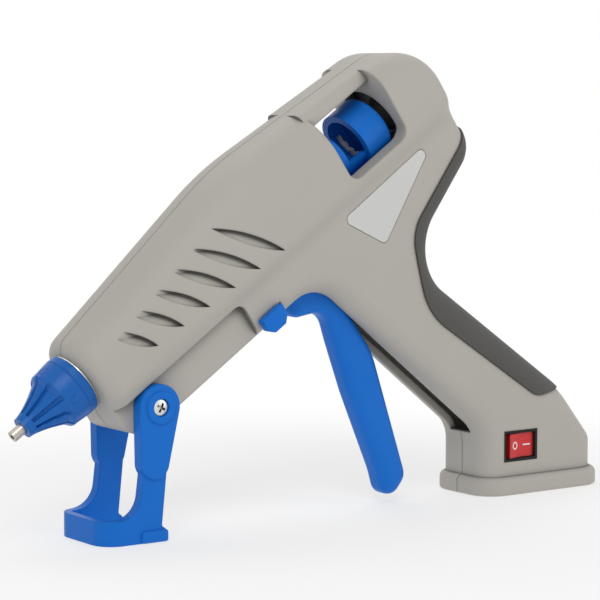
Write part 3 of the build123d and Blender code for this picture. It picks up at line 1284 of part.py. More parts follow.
# Crimp on the end of the second lead
lead_run = Vector(*splice_end) - Vector(*lead_points(-1)[-1])
with BuildPart() as lead_splice:
    with BuildSketch(Plane(origin=Vector(*splice_end) - lead_run.normalized() * SPLICE_SINK, z_dir=lead_run)):
        Circle(SPLICE_RADIUS)
    extrude(amount=SPLICE_LENGTH)
    with BuildSketch(Plane(origin=Vector(*splice_end) - lead_run.normalized() * SPLICE_SINK, z_dir=lead_run)):
        Circle(LEAD_RADIUS + SEAT_FIT)
    extrude(amount=SPLICE_SINK + SEAT_FIT, mode=Mode.SUBTRACT)
lead_splice.part.label = "lead_splice"

pieces = (
    left_shell.part, right_shell.part, soft_grip.part, label_plate.part, case_screws.part,
    nozzle.part, nozzle_sleeve.part, nozzle_collar.part,
    melt_chamber.part, heater_plates.part, heater_clamp.part, clamp_screws.part,
    inlet_seal.part, seal_clip.part, stick_tube.part,
    feed_carriage.part, stick_gripper.part, gripper_pin.part,
    trigger.part, trigger_pin.part, return_spring,
    stand.part, stand_screws.part, stand_latch.part, latch_spring,
    switch_housing.part, switch_rocker.part, switch_terminals.part,
    cord_gland.part, heater_leads, lead_splice.part,
)
os.makedirs("parts", exist_ok=True)
for piece in pieces:
    export_step(piece, f"parts/{piece.label}.step")
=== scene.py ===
"""Looks for the glue gun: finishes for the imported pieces, the small fittings that the CAD leaves plain,
and a studio."""

import json
import math

import bmesh
import bpy
from bpy.props import FloatProperty, FloatVectorProperty, IntProperty, PointerProperty
from mathutils import Matrix, Vector


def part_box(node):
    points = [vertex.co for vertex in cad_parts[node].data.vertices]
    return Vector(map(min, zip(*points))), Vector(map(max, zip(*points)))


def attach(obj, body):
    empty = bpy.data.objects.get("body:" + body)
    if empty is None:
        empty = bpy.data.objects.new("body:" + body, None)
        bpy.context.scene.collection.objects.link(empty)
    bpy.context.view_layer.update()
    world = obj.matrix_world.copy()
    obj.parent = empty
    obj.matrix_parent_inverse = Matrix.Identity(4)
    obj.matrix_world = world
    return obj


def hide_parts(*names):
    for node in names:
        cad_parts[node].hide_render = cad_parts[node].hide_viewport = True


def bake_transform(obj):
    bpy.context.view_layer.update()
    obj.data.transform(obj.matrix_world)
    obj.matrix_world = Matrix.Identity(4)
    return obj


bl_info = {
    "name": "Glue gun looks",
    "version": (1, 0, 0),
    "blender": (4, 5, 0),
    "location": "3D View > Sidebar > Glue gun",
    "description": "Finishes, small fittings and a studio for the packed glue gun",
    "category": "Object",
}

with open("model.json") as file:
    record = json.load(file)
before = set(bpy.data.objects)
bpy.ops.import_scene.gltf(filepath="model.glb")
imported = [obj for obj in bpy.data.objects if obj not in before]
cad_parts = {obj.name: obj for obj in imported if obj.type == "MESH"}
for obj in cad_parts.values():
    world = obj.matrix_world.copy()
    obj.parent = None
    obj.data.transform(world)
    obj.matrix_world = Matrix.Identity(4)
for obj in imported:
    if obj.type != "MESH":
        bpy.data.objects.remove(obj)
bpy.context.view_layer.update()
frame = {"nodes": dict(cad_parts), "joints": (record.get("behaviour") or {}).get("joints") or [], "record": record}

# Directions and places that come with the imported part
JOINTS = {joint["name"]: joint for joint in frame["joints"]}
MOUNTS = {mount["name"]: mount for mount in frame["record"]["mounts"]}
LENGTHWISE = Vector((1, 0, 0))
SIDE = Vector((0, 1, 0))
UP = Vector((0, 0, 1))
BARREL = Vector(MOUNTS["stick_inlet"]["axis"]).normalized()
BARREL_UP = Vector((-BARREL.z, 0, BARREL.x))
BARREL_POINT = Vector(MOUNTS["stick_inlet"]["pos_m"])

# How meshes are joined, rounded and shaded
JOIN_WITHIN = 2e-6
FLAT_WITHIN = math.radians(1)
ROUND_FROM = math.radians(35)
SHARP_FROM = math.radians(38)
SCREW_SHARP_FROM = math.radians(32)

BLACK = (0, 0, 0)
WHITE = (1, 1, 1)


# Small helpers


def mixed(colour, other, share):
    """A colour part of the way from one to another."""
    return tuple(a + (b - a) * share for a, b in zip(colour, other))


def opaque(colour):
    """A colour with full alpha, as colour sockets want it."""
    return (*colour, 1.0)


def darkened(colour, share):
    """A colour part of the way to black, for a colour socket."""
    return opaque(mixed(colour, BLACK, share))


def smooth(low, high, value):
    """0 below low, 1 above high, with a soft step between."""
    share = min(1.0, max(0.0, (value - low) / (high - low)))
    return share * share * (3 - 2 * share)


def add_node(tree, kind, settings=None, values=None):
    """Any node: its type, its settings, and the values or links of its sockets, a list for several links."""
    made = tree.nodes.new(kind)
    for key, value in (settings or {}).items():
        setattr(made, key, value)
    for key, value in (values or {}).items():
        for item in value if isinstance(value, list) else [value]:
            if isinstance(item, Wire):
                item = item.socket
            if isinstance(item, bpy.types.NodeSocket):
                tree.links.new(item, made.inputs[key])
            else:
                made.inputs[key].default_value = item
    return made


def add_object(name, data):
    """A new object at the origin, in the scene."""
    made = bpy.data.objects.new(name, data)
    bpy.context.scene.collection.objects.link(made)
    return made


def joined(name):
    """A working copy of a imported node's mesh, with its loose triangles joined."""
    shape = bmesh.new()
    shape.from_mesh(frame["nodes"][name].data)
    bmesh.ops.remove_doubles(shape, verts=shape.verts, dist=JOIN_WITHIN)
    return shape


def mesh_of(shape, name):
    """The finished mesh of a working copy."""
    mesh = bpy.data.meshes.new(name)
    shape.to_mesh(mesh)
    shape.free()
    return mesh


def shade(mesh, sharp_from=SHARP_FROM):
    """Smooth shading, with the edges past an angle left sharp."""
    mesh.shade_smooth()
    mesh.set_sharp_from_angle(angle=sharp_from)
    return mesh


def mesh_from(name, points, faces):
    """A mesh with its faces turned outwards and its smooth edges marked."""
    mesh = bpy.data.meshes.new(name)
    mesh.from_pydata(points, [], faces)
    shape = bmesh.new()
    shape.from_mesh(mesh)
    bmesh.ops.recalc_face_normals(shape, faces=shape.faces)
    shape.to_mesh(mesh)
    shape.free()
    return shade(mesh)


def coat(mesh, material):
    """Makes a finish the only one of a mesh."""
    mesh.materials.clear()
    mesh.materials.append(material)


def paint(material, *names):
    """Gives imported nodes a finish."""
    for name in names:
        coat(frame["nodes"][name].data, material)


def settle(made, body, slot, *nodes):
    """Ties a finished piece to its body and hides the nodes it stands for; the slot is not used."""
    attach(made, body)
    if nodes:
        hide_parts(*nodes)


def add_piece(mesh, material, body, slot, *nodes):
    """A new piece with its finish, tied to its body."""
    made = add_object(mesh.name, mesh)
    coat(mesh, material)
    settle(made, body, slot, *nodes)


def softened(name, material, body, slot, width, segments):
    """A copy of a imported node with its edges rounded, which then stands for that node."""
    mesh = frame["nodes"][name].data.copy()
    mesh.name = name + "_soft"
    shape = joined(name)
    bmesh.ops.dissolve_limit(shape, angle_limit=FLAT_WITHIN, verts=shape.verts, edges=shape.edges)
    shape.to_mesh(mesh)
    shape.free()
    if "custom_normal" in mesh.attributes:
        mesh.attributes.remove(mesh.attributes["custom_normal"])
    mesh.shade_smooth()
    made = add_object(name + "_soft", mesh)
    edge = made.modifiers.new("Rounded edges", "BEVEL")
    edge.width = width
    edge.segments = segments
    edge.limit_method = "ANGLE"
    edge.angle_limit = ROUND_FROM
    edge.harden_normals = True
    coat(mesh, material)
    settle(made, body, slot, name)


def reach_along(name):
    """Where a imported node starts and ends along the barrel, from the point on its axis."""
    marks = [(vertex.co - BARREL_POINT).dot(BARREL) for vertex in frame["nodes"][name].data.vertices]
    return min(marks), max(marks)


def stretching(name, material):
    """A copy of an imported spring with its finish, which then stands for that node."""
    made = add_object(name + "_live", frame["nodes"][name].data.copy())
    coat(made.data, material)
    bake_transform(made)
    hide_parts(name)


# Node materials

# Moulded pieces: sizes in metres, and shares of the colour and the roughness
FLOW_SIZE = 0.03
FLOW_DARKER = 0.05
FLOW_LIGHTER = 0.015
SKIN_ROUGH = 0.12
FLOW_ROUGH = 0.06
COAT_ROUGHNESS = 0.12
# Painted shade in hollows: how far the occlusion reaches, and how far the colour there goes to black
MOULDED_REACH = 0.005
MOULDED_SHADE_DARKER = 0.9

# Metal pieces
MARK_SIZE = 0.0004
CLOUD_SIZE = 0.006
CLOUD_DARKER = 0.12
MARK_ROUGH = 0.16
CLOUD_ROUGH = 0.08
# Painted shade in hollows of metal pieces: how far the occlusion reaches, and how far the colour goes to black
METAL_REACH = 0.0012
METAL_SHADE_DARKER = 0.92
EVEN = (1.0, 1.0, 1.0)

# How openness is read as a hollow, and how finely hollows and rounded edges are sampled
HOLLOW_TO_OPEN = (0.45, 0.95)
HOLLOW_SAMPLES = 12
EDGE_SAMPLES = 8


class Wire:
    """A number in a node tree, on which Python's operators add Math nodes."""

    def __init__(self, finish, socket):
        self.finish = finish
        self.socket = socket

    def math(self, operation, *values):
        made = self.finish.node("ShaderNodeMath", {"operation": operation}, dict(enumerate(values)))
        return Wire(self.finish, made.outputs[0])

    def __add__(self, other):
        return self.math("ADD", self, other)

    def __radd__(self, other):
        return self.math("ADD", other, self)

    def __sub__(self, other):
        return self.math("SUBTRACT", self, other)

    def __rsub__(self, other):
        return self.math("SUBTRACT", other, self)

    def __mul__(self, other):
        return self.math("MULTIPLY", self, other)

    def __rmul__(self, other):
        return self.math("MULTIPLY", other, self)

    def ramp(self, low, high):
        """0 below low and 1 above high, with a soft step between."""
        made = self.finish.node(
            "ShaderNodeMapRange",
            {"interpolation_type": "SMOOTHSTEP"},
            {"Value": self, "From Min": low, "From Max": high},
        )
        return Wire(self.finish, made.outputs["Result"])


class Finish:
    """A material while its nodes are put together."""

    def __init__(self, name):
        self.material = bpy.data.materials.new(name)
        self.material.use_nodes = True
        self.tree = self.material.node_tree
        self.tree.nodes.clear()
        self.place = self.node("ShaderNodeTexCoord").outputs["Object"]

    def node(self, kind, settings=None, values=None):
        """Any node of this material."""
        return add_node(self.tree, kind, settings, values)

    def vector(self, operation, first, second=None):
        """A Vector Math node on one or two vectors."""
        values = {0: first} if second is None else {0: first, 1: second}
        return self.node("ShaderNodeVectorMath", {"operation": operation}, values).outputs

    def noise(self, size, detail=2.0, stretch=EVEN):
        """Noise with features of a size in metres, drawn out along an axis by a stretch under 1."""
        scaled = self.vector("MULTIPLY", self.place, stretch)[0]
        made = self.node(
            "ShaderNodeTexNoise", None, {"Vector": scaled, "Scale": 1 / size, "Detail": detail}
        )
        return Wire(self, made.outputs["Fac"])

    def along(self, direction, origin):
        """Distance from a point along a direction, in metres."""
        from_origin = self.vector("SUBTRACT", self.place, origin)[0]
        return Wire(self, self.vector("DOT_PRODUCT", from_origin, direction)["Value"])

    def hollow(self, reach):
        """1 where the piece closes in on itself within a reach in metres, 0 where it is open."""
        made = self.node(
            "ShaderNodeAmbientOcclusion",
            {"samples": HOLLOW_SAMPLES, "only_local": True},
            {"Distance": reach},
        )
        return 1.0 - Wire(self, made.outputs["AO"]).ramp(*HOLLOW_TO_OPEN)

    def mix(self, share, first, second):
        """A colour between two colours."""
        made = self.node("ShaderNodeMix", {"data_type": "RGBA"}, {0: share, 6: first, 7: second})
        return made.outputs[2]

    def surface(self, values, height, depth, edge=0.0):
        """Ends the material in a shader, with a bump from a height of the given depth in metres and edges
        that look rounded to a radius."""
        bump = self.node("ShaderNodeBump", None, {"Strength": 1.0, "Distance": depth, "Height": height})
        if edge:
            rounded = self.node("ShaderNodeBevel", {"samples": EDGE_SAMPLES}, {"Radius": edge})
            self.tree.links.new(rounded.outputs["Normal"], bump.inputs["Normal"])
        shader = self.node("ShaderNodeBsdfPrincipled", None, {**values, "Normal": bump.outputs["Normal"]})
        self.node("ShaderNodeOutputMaterial", None, {"Surface": shader.outputs[0]})
        return self.material


def moulded(name, colour, roughness, grain, depth, coat_weight=0.0, gloss=0.5, hollow_shade=0.0, edge=0.0):
    """Moulded plastic or rubber: faint flow marks, a grained skin, painted shade that darkens its hollows, and
    edges that look rounded."""
    finish = Finish(name)
    flow = finish.noise(FLOW_SIZE, detail=3.0)
    skin = finish.noise(grain, detail=3.0)
    tone = finish.mix(flow, darkened(colour, FLOW_DARKER), opaque(mixed(colour, WHITE, FLOW_LIGHTER)))
    # Painted shade: the colour goes darker where the piece closes in on itself
    if hollow_shade:
        tone = finish.mix(finish.hollow(MOULDED_REACH) * hollow_shade, tone, darkened(colour, MOULDED_SHADE_DARKER))
    smoothest = roughness - (SKIN_ROUGH + FLOW_ROUGH) / 2
    return finish.surface(
        {
            "Base Color": tone,
            "Roughness": skin * SKIN_ROUGH + flow * FLOW_ROUGH + smoothest,
            "Specular IOR Level": gloss,
            "Coat Weight": coat_weight,
            "Coat Roughness": COAT_ROUGHNESS,
        },
        skin,
        depth,
        edge,
    )


def worked_metal(name, colour, roughness, depth, stretch=EVEN, hollow_shade=0.0):
    """Metal with fine marks drawn out along the axes where the stretch is small."""
    finish = Finish(name)
    marks = finish.noise(MARK_SIZE, detail=4.0, stretch=stretch)
    cloud = finish.noise(CLOUD_SIZE, detail=2.0)
    tone = finish.mix(cloud, darkened(colour, CLOUD_DARKER), opaque(colour))
    # Painted shade: the colour goes darker where the piece closes in on itself
    if hollow_shade:
        tone = finish.mix(finish.hollow(METAL_REACH) * hollow_shade, tone, darkened(colour, METAL_SHADE_DARKER))
    smoothest = roughness - (MARK_ROUGH + CLOUD_ROUGH) / 2
    return finish.surface(
        {
            "Base Color": tone,
            "Metallic": 1.0,
            "Roughness": marks * MARK_ROUGH + cloud * CLOUD_ROUGH + smoothest,
        },
        marks,
        depth,
    )


def warmed_metal(name, colour, tint, roughness):
    """Turned nozzle metal, browned towards its tip by heat."""
    ring_size = 0.0005
    ring_rough = 0.2
    ring_depth = 0.00002
    warm_share = 0.35
    tint_share = 0.8
    finish = Finish(name)
    rings = finish.noise(ring_size, detail=3.0)
    front, back = reach_along("nozzle")
    heat = 1.0 - finish.along(BARREL, BARREL_POINT + BARREL * front).ramp(0.0, warm_share * (back - front))
    tone = finish.mix(heat * rings * tint_share, opaque(colour), opaque(tint))
    return finish.surface(
        {
            "Base Color": tone,
            "Metallic": 1.0,
            "Roughness": rings * ring_rough + (roughness - ring_rough / 2),
        },
        rings,
        ring_depth,
    )


def woven(name, colour, pitch):
    """Woven sleeving: two crossed sets of threads."""
    wave_scale = 0.3
    thread_wander = 0.6
    gap_darker = 0.35
    gap_roughness = 0.7
    thread_rough = 0.1
    weave_depth = 0.0001
    finish = Finish(name)
    waves = []
    for direction in ((1.0, 1.0, 1.0), (1.0, -1.0, 1.0)):
        turned = finish.vector("MULTIPLY", finish.place, direction)[0]
        wave = finish.node(
            "ShaderNodeTexWave",
            {"bands_direction": "DIAGONAL"},
            {"Vector": turned, "Scale": wave_scale / pitch, "Distortion": thread_wander},
        )
        waves.append(Wire(finish, wave.outputs["Fac"]))
    weave = waves[0] * waves[1]
    tone = finish.mix(weave, darkened(colour, gap_darker), opaque(colour))
    roughness = weave * thread_rough + gap_roughness
    return finish.surface({"Base Color": tone, "Roughness": roughness}, weave, weave_depth)


def red_with_painted_shade(name, colour, deep):
    """Clear red moulding with painted shade: darker towards the ends and edges of the rocker."""
    ends_from = 0.72
    ends_share = 0.6
    edges_from = 0.62
    edges_share = 0.5
    cloud_size = 0.002
    cloud_share = 0.12
    cloud_rough = 0.08
    cloud_depth = 0.00002
    smoothest = 0.2
    finish = Finish(name)
    low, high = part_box("switch_rocker")
    middle = (low + high) / 2
    half = (high - low) / 2
    run = finish.along(LENGTHWISE, middle)
    rise = finish.along(UP, middle)
    ends = (run * run).ramp((ends_from * half.x) ** 2, half.x ** 2)
    edges = (rise * rise).ramp((edges_from * half.z) ** 2, half.z ** 2)
    cloud = finish.noise(cloud_size, detail=2.0)
    # Painted shade towards the ends and edges, mixed with a random cloud of deeper red
    depth = ends * ends_share + edges * edges_share + cloud * cloud_share
    tone = finish.mix(depth, opaque(colour), opaque(deep))
    return finish.surface(
        {
            "Base Color": tone,
            "Roughness": cloud * cloud_rough + smoothest,
            "Specular IOR Level": 0.3,
            "Coat Weight": 0.25,
            "Coat Roughness": 0.05,
        },
        cloud,
        cloud_depth,
    )


# Sizes and colours that a user may change


def colour_setting(name, description, default):
    """A colour on the panel."""
    return FloatVectorProperty(
        name=name, description=description, subtype="COLOR", min=0, max=1, default=default
    )


def length_setting(name, description, low, high, default):
    """A length on the panel, in metres."""
    return FloatProperty(
        name=name, description=description, unit="LENGTH", min=low, max=high, default=default
    )


class GunColours(bpy.types.PropertyGroup):
    """Colours of the finishes."""

    body: colour_setting("Housing", "Matte plastic of the two shells", (0.432, 0.410, 0.370))
    strap: colour_setting("Back strap", "Soft moulding on the back of the grip", (0.055, 0.053, 0.048))
    plate: colour_setting("Plate", "Bare plate on the near side", (0.56, 0.565, 0.55))
    blue: colour_setting("Levers", "Trigger, stand, latch and feed", (0.001, 0.145, 0.59))
    sleeve: colour_setting("Nozzle sleeve", "Heat-proof sleeve over the nozzle", (0.001, 0.110, 0.43))
    nozzle: colour_setting("Nozzle", "Turned metal of the nozzle", (0.60, 0.58, 0.55))
    heat: colour_setting("Heat tint", "Browning at the nozzle tip", (0.30, 0.22, 0.15))
    collar: colour_setting("Collar", "Bright ring behind the sleeve", (0.80, 0.80, 0.80))
    red: colour_setting("Rocker", "Clear red of the rocker", (0.60, 0.012, 0.014))
    # Colour of the painted shade at the rocker's ends and edges
    red_shade: colour_setting("Rocker, deep", "Where the rocker looks dark", (0.16, 0.004, 0.006))
    mark: colour_setting("Marks", "Print on the rocker", (0.80, 0.79, 0.77))
    switch: colour_setting("Switch", "Black plastic round the rocker", (0.006, 0.006, 0.006))
    brass: colour_setting("Brass", "Blades of the switch and the crimp", (0.60, 0.42, 0.14))
    steel: colour_setting("Steel", "Springs, pins and pressed parts", (0.62, 0.62, 0.61))
    plated: colour_setting("Screws", "Plated steel of the screws", (0.72, 0.72, 0.72))
    zinc: colour_setting("Gripper", "Zinc on the toothed plate", (0.86, 0.84, 0.84))
    tube: colour_setting("Stick tube", "Dark tube in the hump", (0.02, 0.02, 0.021))
    alloy: colour_setting("Melt chamber", "Cast alloy of the chamber", (0.46, 0.46, 0.45))
    ceramic: colour_setting("Heater plates", "Fired ceramic of the heater", (0.72, 0.68, 0.58))
    silicone: colour_setting("Inlet seal", "Silicone at the chamber's mouth", (0.28, 0.02, 0.012))
    sleeving: colour_setting("Leads", "Woven glass over the leads", (0.70, 0.67, 0.60))
    gland: colour_setting("Gland", "Rubber of the cord gland", (0.02, 0.02, 0.02))


class GunSizes(bpy.types.PropertyGroup):
    """Sizes of the pieces made here."""

    head_rise: length_setting("Screw dome", "How far a screw head is domed", 0.0001, 0.001, 0.0004)
    recess_length: length_setting("Cross length", "Length of a cross recess", 0.001, 0.005, 0.0034)
    recess_width: length_setting("Cross width", "Width of an arm of the cross", 0.0003, 0.002, 0.00085)
    recess_depth: length_setting("Cross depth", "Depth of a cross recess", 0.0003, 0.002, 0.001)
    stand_head: length_setting("Stand screw head", "Height of a stand screw's head", 0.001, 0.003, 0.0016)
    stand_shank: length_setting("Stand screw shank", "Radius of its shank", 0.001, 0.002, 0.0014)
    case_head: length_setting("Case screw head", "Height of a case screw's head", 0.001, 0.003, 0.0020)
    case_shank: length_setting("Case screw shank", "Radius of its shank", 0.001, 0.002, 0.00145)
    seam_gap: length_setting("Seam", "Width of the seam between the shells", 0.0001, 0.0004, 0.0002)
    edge: length_setting("Edge rounding", "Rounding of the switch", 0.00005, 0.001, 0.0003)
    plate_edge: length_setting("Plate rounding", "Rounding of the plate", 0.00005, 0.0005, 0.00015)
    shell_edge: length_setting("Shell rounding", "How round the shells' edges look", 0.0001, 0.002, 0.0014)
    lever_edge: length_setting("Lever rounding", "How round the levers' edges look", 0.0001, 0.002, 0.0008)
    stand_edge: length_setting("Stand rounding", "Rounding of its legs and foot", 0.0001, 0.0015, 0.0011)
    latch_edge: length_setting("Latch rounding", "Rounding of the latch's corners", 0.0001, 0.0015, 0.001)
    pad_length: length_setting("Pad length", "Length of a pad on the stand", 0.005, 0.02, 0.0105)
    pad_height: length_setting("Pad height", "Height of a pad on the stand", 0.002, 0.006, 0.0042)
    pad_thick: length_setting("Pad thickness", "Thickness, part of it sunk", 0.0015, 0.004, 0.0026)
    pad_inset: length_setting("Pad inset", "How far it stays inside the stand's width", 0.0, 0.002, 0.0004)
    pad_back: length_setting("Pad back", "How far it reaches behind the pivot", 0.0, 0.006, 0.003)
    pad_round: length_setting("Pad rounding", "Rounding of the pads", 0.0002, 0.0012, 0.001)
    flutes: IntProperty(
        name="Flutes", description="Number of flutes round the nozzle sleeve", min=4, max=16, default=10
    )
    flute_depth: length_setting("Flute depth", "Depth of the sleeve's flutes", 0.0002, 0.002, 0.0013)
    flute_width: length_setting("Flute width", "Width of the sleeve's flutes", 0.0005, 0.003, 0.0015)
    skirt: length_setting("Skirt", "How far the sleeve reaches over the collar", 0.0, 0.0023, 0.0015)
    mark_ring: length_setting("Ring mark", "Outer radius of the off mark", 0.0005, 0.003, 0.0015)
    mark_line: length_setting("Line width", "Line width of the rocker's marks", 0.0001, 0.001, 0.0005)
    mark_lift: length_setting("Mark lift", "How far the marks stand proud", 0.00002, 0.0002, 0.00006)


# Seam

SEAM_FLAT = 0.1      # how far from the meeting face a point may be, as a share of the seam
SEAM_HALF = 0.45     # half the filling's width, as a share of the seam
# Painted shade: the filling closes the gap like a lip, and its colour, darker than the shells', stands for shade
# in the seam
SEAM_SHADE = 0.6    # how far the filling's colour goes from the shells' to black


def seam_mesh(sizes):
    """A thin filling between the two shells, on the faces where they meet."""
    shape = joined("left_shell")
    plane = max(vertex.co.y for vertex in shape.verts)
    others = [
        face for face in shape.faces
        if any(abs(vertex.co.y - plane) > SEAM_FLAT * sizes.seam_gap for vertex in face.verts)
    ]
    bmesh.ops.delete(shape, geom=others, context="FACES")
    for vertex in shape.verts:
        vertex.co.y = -SEAM_HALF * sizes.seam_gap
    made = bmesh.ops.extrude_face_region(shape, geom=list(shape.faces), use_keep_orig=True)
    for item in made["geom"]:
        if isinstance(item, bmesh.types.BMVert):
            item.co.y = SEAM_HALF * sizes.seam_gap
    bmesh.ops.recalc_face_normals(shape, faces=shape.faces)
    return mesh_of(shape, "seam")


# Screws

SCREW_SIZES = ("Head Radius", "Head Height", "Dome", "Recess Length", "Recess Width", "Recess Depth",
               "Shank Radius", "Shank Length")
HEAD_SIDES = 48
BALL_SIDES = 96
SHANK_SIDES = 32
SHANK_SUNK = 0.25    # how far the shank reaches into the head, as a share of the head
MOST_SPIN = 0.6      # radians that a screw may be turned either way


def screw_tree():
    """Geometry nodes that set a cross-headed screw on every point."""
    tree = bpy.data.node_groups.new("Cross-headed screws", "GeometryNodeTree")
    tree.is_modifier = True
    face = tree.interface
    face.new_socket("Geometry", in_out="INPUT", socket_type="NodeSocketGeometry")
    for name in SCREW_SIZES:
        face.new_socket(name, in_out="INPUT", socket_type="NodeSocketFloat")
    face.new_socket("Seed", in_out="INPUT", socket_type="NodeSocketInt")
    face.new_socket("Material", in_out="INPUT", socket_type="NodeSocketMaterial")
    face.new_socket("Geometry", in_out="OUTPUT", socket_type="NodeSocketGeometry")

    def node(kind, settings=None, values=None):
        return add_node(tree, kind, settings, values)

    def number(operation, first, second):
        return node("ShaderNodeMath", {"operation": operation}, {0: first, 1: second}).outputs[0]

    def lifted(mesh, height):
        offset = node("ShaderNodeCombineXYZ", None, {"Z": height}).outputs[0]
        return node("GeometryNodeTransform", None, {"Geometry": mesh, "Translation": offset}).outputs[0]

    def combined(operation, values):
        settings = {"operation": operation, "solver": "EXACT"}
        return node("GeometryNodeMeshBoolean", settings, values).outputs["Mesh"]

    given = node("NodeGroupInput").outputs
    radius, height, dome = given["Head Radius"], given["Head Height"], given["Dome"]
    # The head is a disc cut to a ball: the ball's radius follows from the disc and the dome.
    squared = number("ADD", number("MULTIPLY", radius, radius), number("MULTIPLY", dome, dome))
    ball_radius = number("DIVIDE", squared, number("MULTIPLY", dome, 2.0))
    disc = node("GeometryNodeMeshCylinder", None, {"Vertices": HEAD_SIDES, "Radius": radius, "Depth": height})
    ball = node(
        "GeometryNodeMeshUVSphere",
        None,
        {"Segments": BALL_SIDES, "Rings": BALL_SIDES, "Radius": ball_radius},
    )
    head_parts = [
        lifted(disc.outputs["Mesh"], number("MULTIPLY", height, 0.5)),
        lifted(ball.outputs["Mesh"], number("SUBTRACT", height, ball_radius)),
    ]
    head = combined("INTERSECT", {"Mesh 2": head_parts})
    arms = []
    deep = number("MULTIPLY", given["Recess Depth"], 2.0)
    for run, wide in (("Recess Length", "Recess Width"), ("Recess Width", "Recess Length")):
        size = node("ShaderNodeCombineXYZ", None, {"X": given[run], "Y": given[wide], "Z": deep})
        arm = node("GeometryNodeMeshCube", None, {"Size": size.outputs[0]})
        arms.append(lifted(arm.outputs["Mesh"], height))
    crossed = combined("DIFFERENCE", {"Mesh 1": head, "Mesh 2": arms})
    # The shank reaches a little into the head and is joined to it.
    sunk = number("MULTIPLY", height, SHANK_SUNK)
    shank_depth = number("ADD", given["Shank Length"], sunk)
    shank = node(
        "GeometryNodeMeshCylinder",
        None,
        {"Vertices": SHANK_SIDES, "Radius": given["Shank Radius"], "Depth": shank_depth},
    )
    shank_middle = number("SUBTRACT", sunk, number("MULTIPLY", shank_depth, 0.5))
    whole = combined("UNION", {"Mesh 2": [crossed, lifted(shank.outputs["Mesh"], shank_middle)]})
    facing = node("GeometryNodeInputNamedAttribute", {"data_type": "FLOAT"}, {"Name": "facing"})
    spin = node(
        "FunctionNodeRandomValue",
        {"data_type": "FLOAT"},
        {2: -MOST_SPIN, 3: MOST_SPIN, "Seed": given["Seed"]},
    )
    tip_over = number("MULTIPLY", facing.outputs["Attribute"], -math.pi / 2)
    turn = node("ShaderNodeCombineXYZ", None, {"X": tip_over, "Y": spin.outputs[1]})
    points = node("GeometryNodeMeshToPoints", None, {"Mesh": given["Geometry"]})
    placed = node(
        "GeometryNodeInstanceOnPoints",
        None,
        {"Points": points.outputs[0], "Instance": whole, "Rotation": turn.outputs[0]},
    )
    real = node("GeometryNodeRealizeInstances", None, {"Geometry": placed.outputs[0]})
    painted = node(
        "GeometryNodeSetMaterial", None, {"Geometry": real.outputs[0], "Material": given["Material"]}
    )
    node("NodeGroupOutput", None, {"Geometry": painted.outputs[0]})
    return tree


def lone_solids(name):
    """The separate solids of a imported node: the points of each."""
    shape = joined(name)
    left = set(shape.verts)
    solids = []
    while left:
        wave = [left.pop()]
        points = []
        while wave:
            vertex = wave.pop()
            points.append(vertex.co.copy())
            for edge in vertex.link_edges:
                other = edge.other_vert(vertex)
                if other in left:
                    left.remove(other)
                    wave.append(other)
        solids.append(points)
    shape.free()
    return sorted(solids, key=lambda points: tuple(min(points, key=tuple)))


def set_screws(name, tree, material, head_height, shank_radius, seed):
    """Cross-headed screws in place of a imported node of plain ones, which lie along Y."""
    sizes = bpy.context.scene.gun_sizes
    places = []
    facings = []
    for points in lone_solids(name):
        low = Vector(map(min, zip(*points)))
        high = Vector(map(max, zip(*points)))
        middle = (low + high) / 2
        # The head is at the end where the solid is widest.
        widest = max(points, key=lambda point: math.hypot(point.x - middle.x, point.z - middle.z))
        facing = math.copysign(1.0, widest.y - middle.y)
        places.append((middle.x, middle.y + facing * ((high.y - low.y) / 2 - head_height), middle.z))
        facings.append(facing)
        head_radius = (high.x - low.x) / 2
        length = high.y - low.y - head_height
    mesh = bpy.data.meshes.new(name + "_places")
    mesh.from_pydata(places, [], [])
    mesh.attributes.new("facing", "FLOAT", "POINT").data.foreach_set("value", facings)
    made = add_object(name + "_cross", mesh)
    modifier = made.modifiers.new("Screws", "NODES")
    modifier.node_group = tree
    measures = (head_radius, head_height, sizes.head_rise, sizes.recess_length, sizes.recess_width,
                sizes.recess_depth, shank_radius, length)
    values = {**dict(zip(SCREW_SIZES, measures)), "Seed": seed, "Material": material}
    for item in tree.interface.items_tree:
        if item.in_out == "INPUT" and item.name in values:
            modifier[item.identifier] = values[item.name]
    graph = bpy.context.evaluated_depsgraph_get()
    final = bpy.data.meshes.new_from_object(made.evaluated_get(graph))
    made.modifiers.remove(modifier)
    made.data = shade(final, SCREW_SHARP_FROM)
    if not final.polygons:
        raise RuntimeError(f"no screws were made for {name}")
    settle(made, "housing", "screw_steel", name)


# Pads of the stand

PAD_SEGMENTS = 5


def stand_pads(sizes):
    """A rounded pad on the outer side of each foot, at the back, in one mesh."""
    back = JOINTS["stand_fold"]["pos_m"][0] + sizes.pad_back
    low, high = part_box("stand")
    outer = high.y - sizes.pad_inset
    size = Vector((sizes.pad_length, sizes.pad_thick, sizes.pad_height))
    shape = bmesh.new()
    for side in (-1, 1):
        middle = Vector((back - size.x / 2, side * (outer - size.y / 2), low.z + size.z / 2))
        place = Matrix.Translation(middle) @ Matrix.Diagonal((*size, 1.0))
        made = bmesh.ops.create_cube(shape, size=1.0, matrix=place)
        edges = {edge for vertex in made["verts"] for edge in vertex.link_edges}
        bmesh.ops.bevel(
            shape,
            geom=list(edges),
            offset=sizes.pad_round,
            segments=PAD_SEGMENTS,
            profile=0.5,
            affect="EDGES",
        )
    return shade(mesh_of(shape, "stand_pads"))


# Nozzle sleeve: radii and places along it from the tip, in millimetres. A pair is where a soft step starts
# and ends.

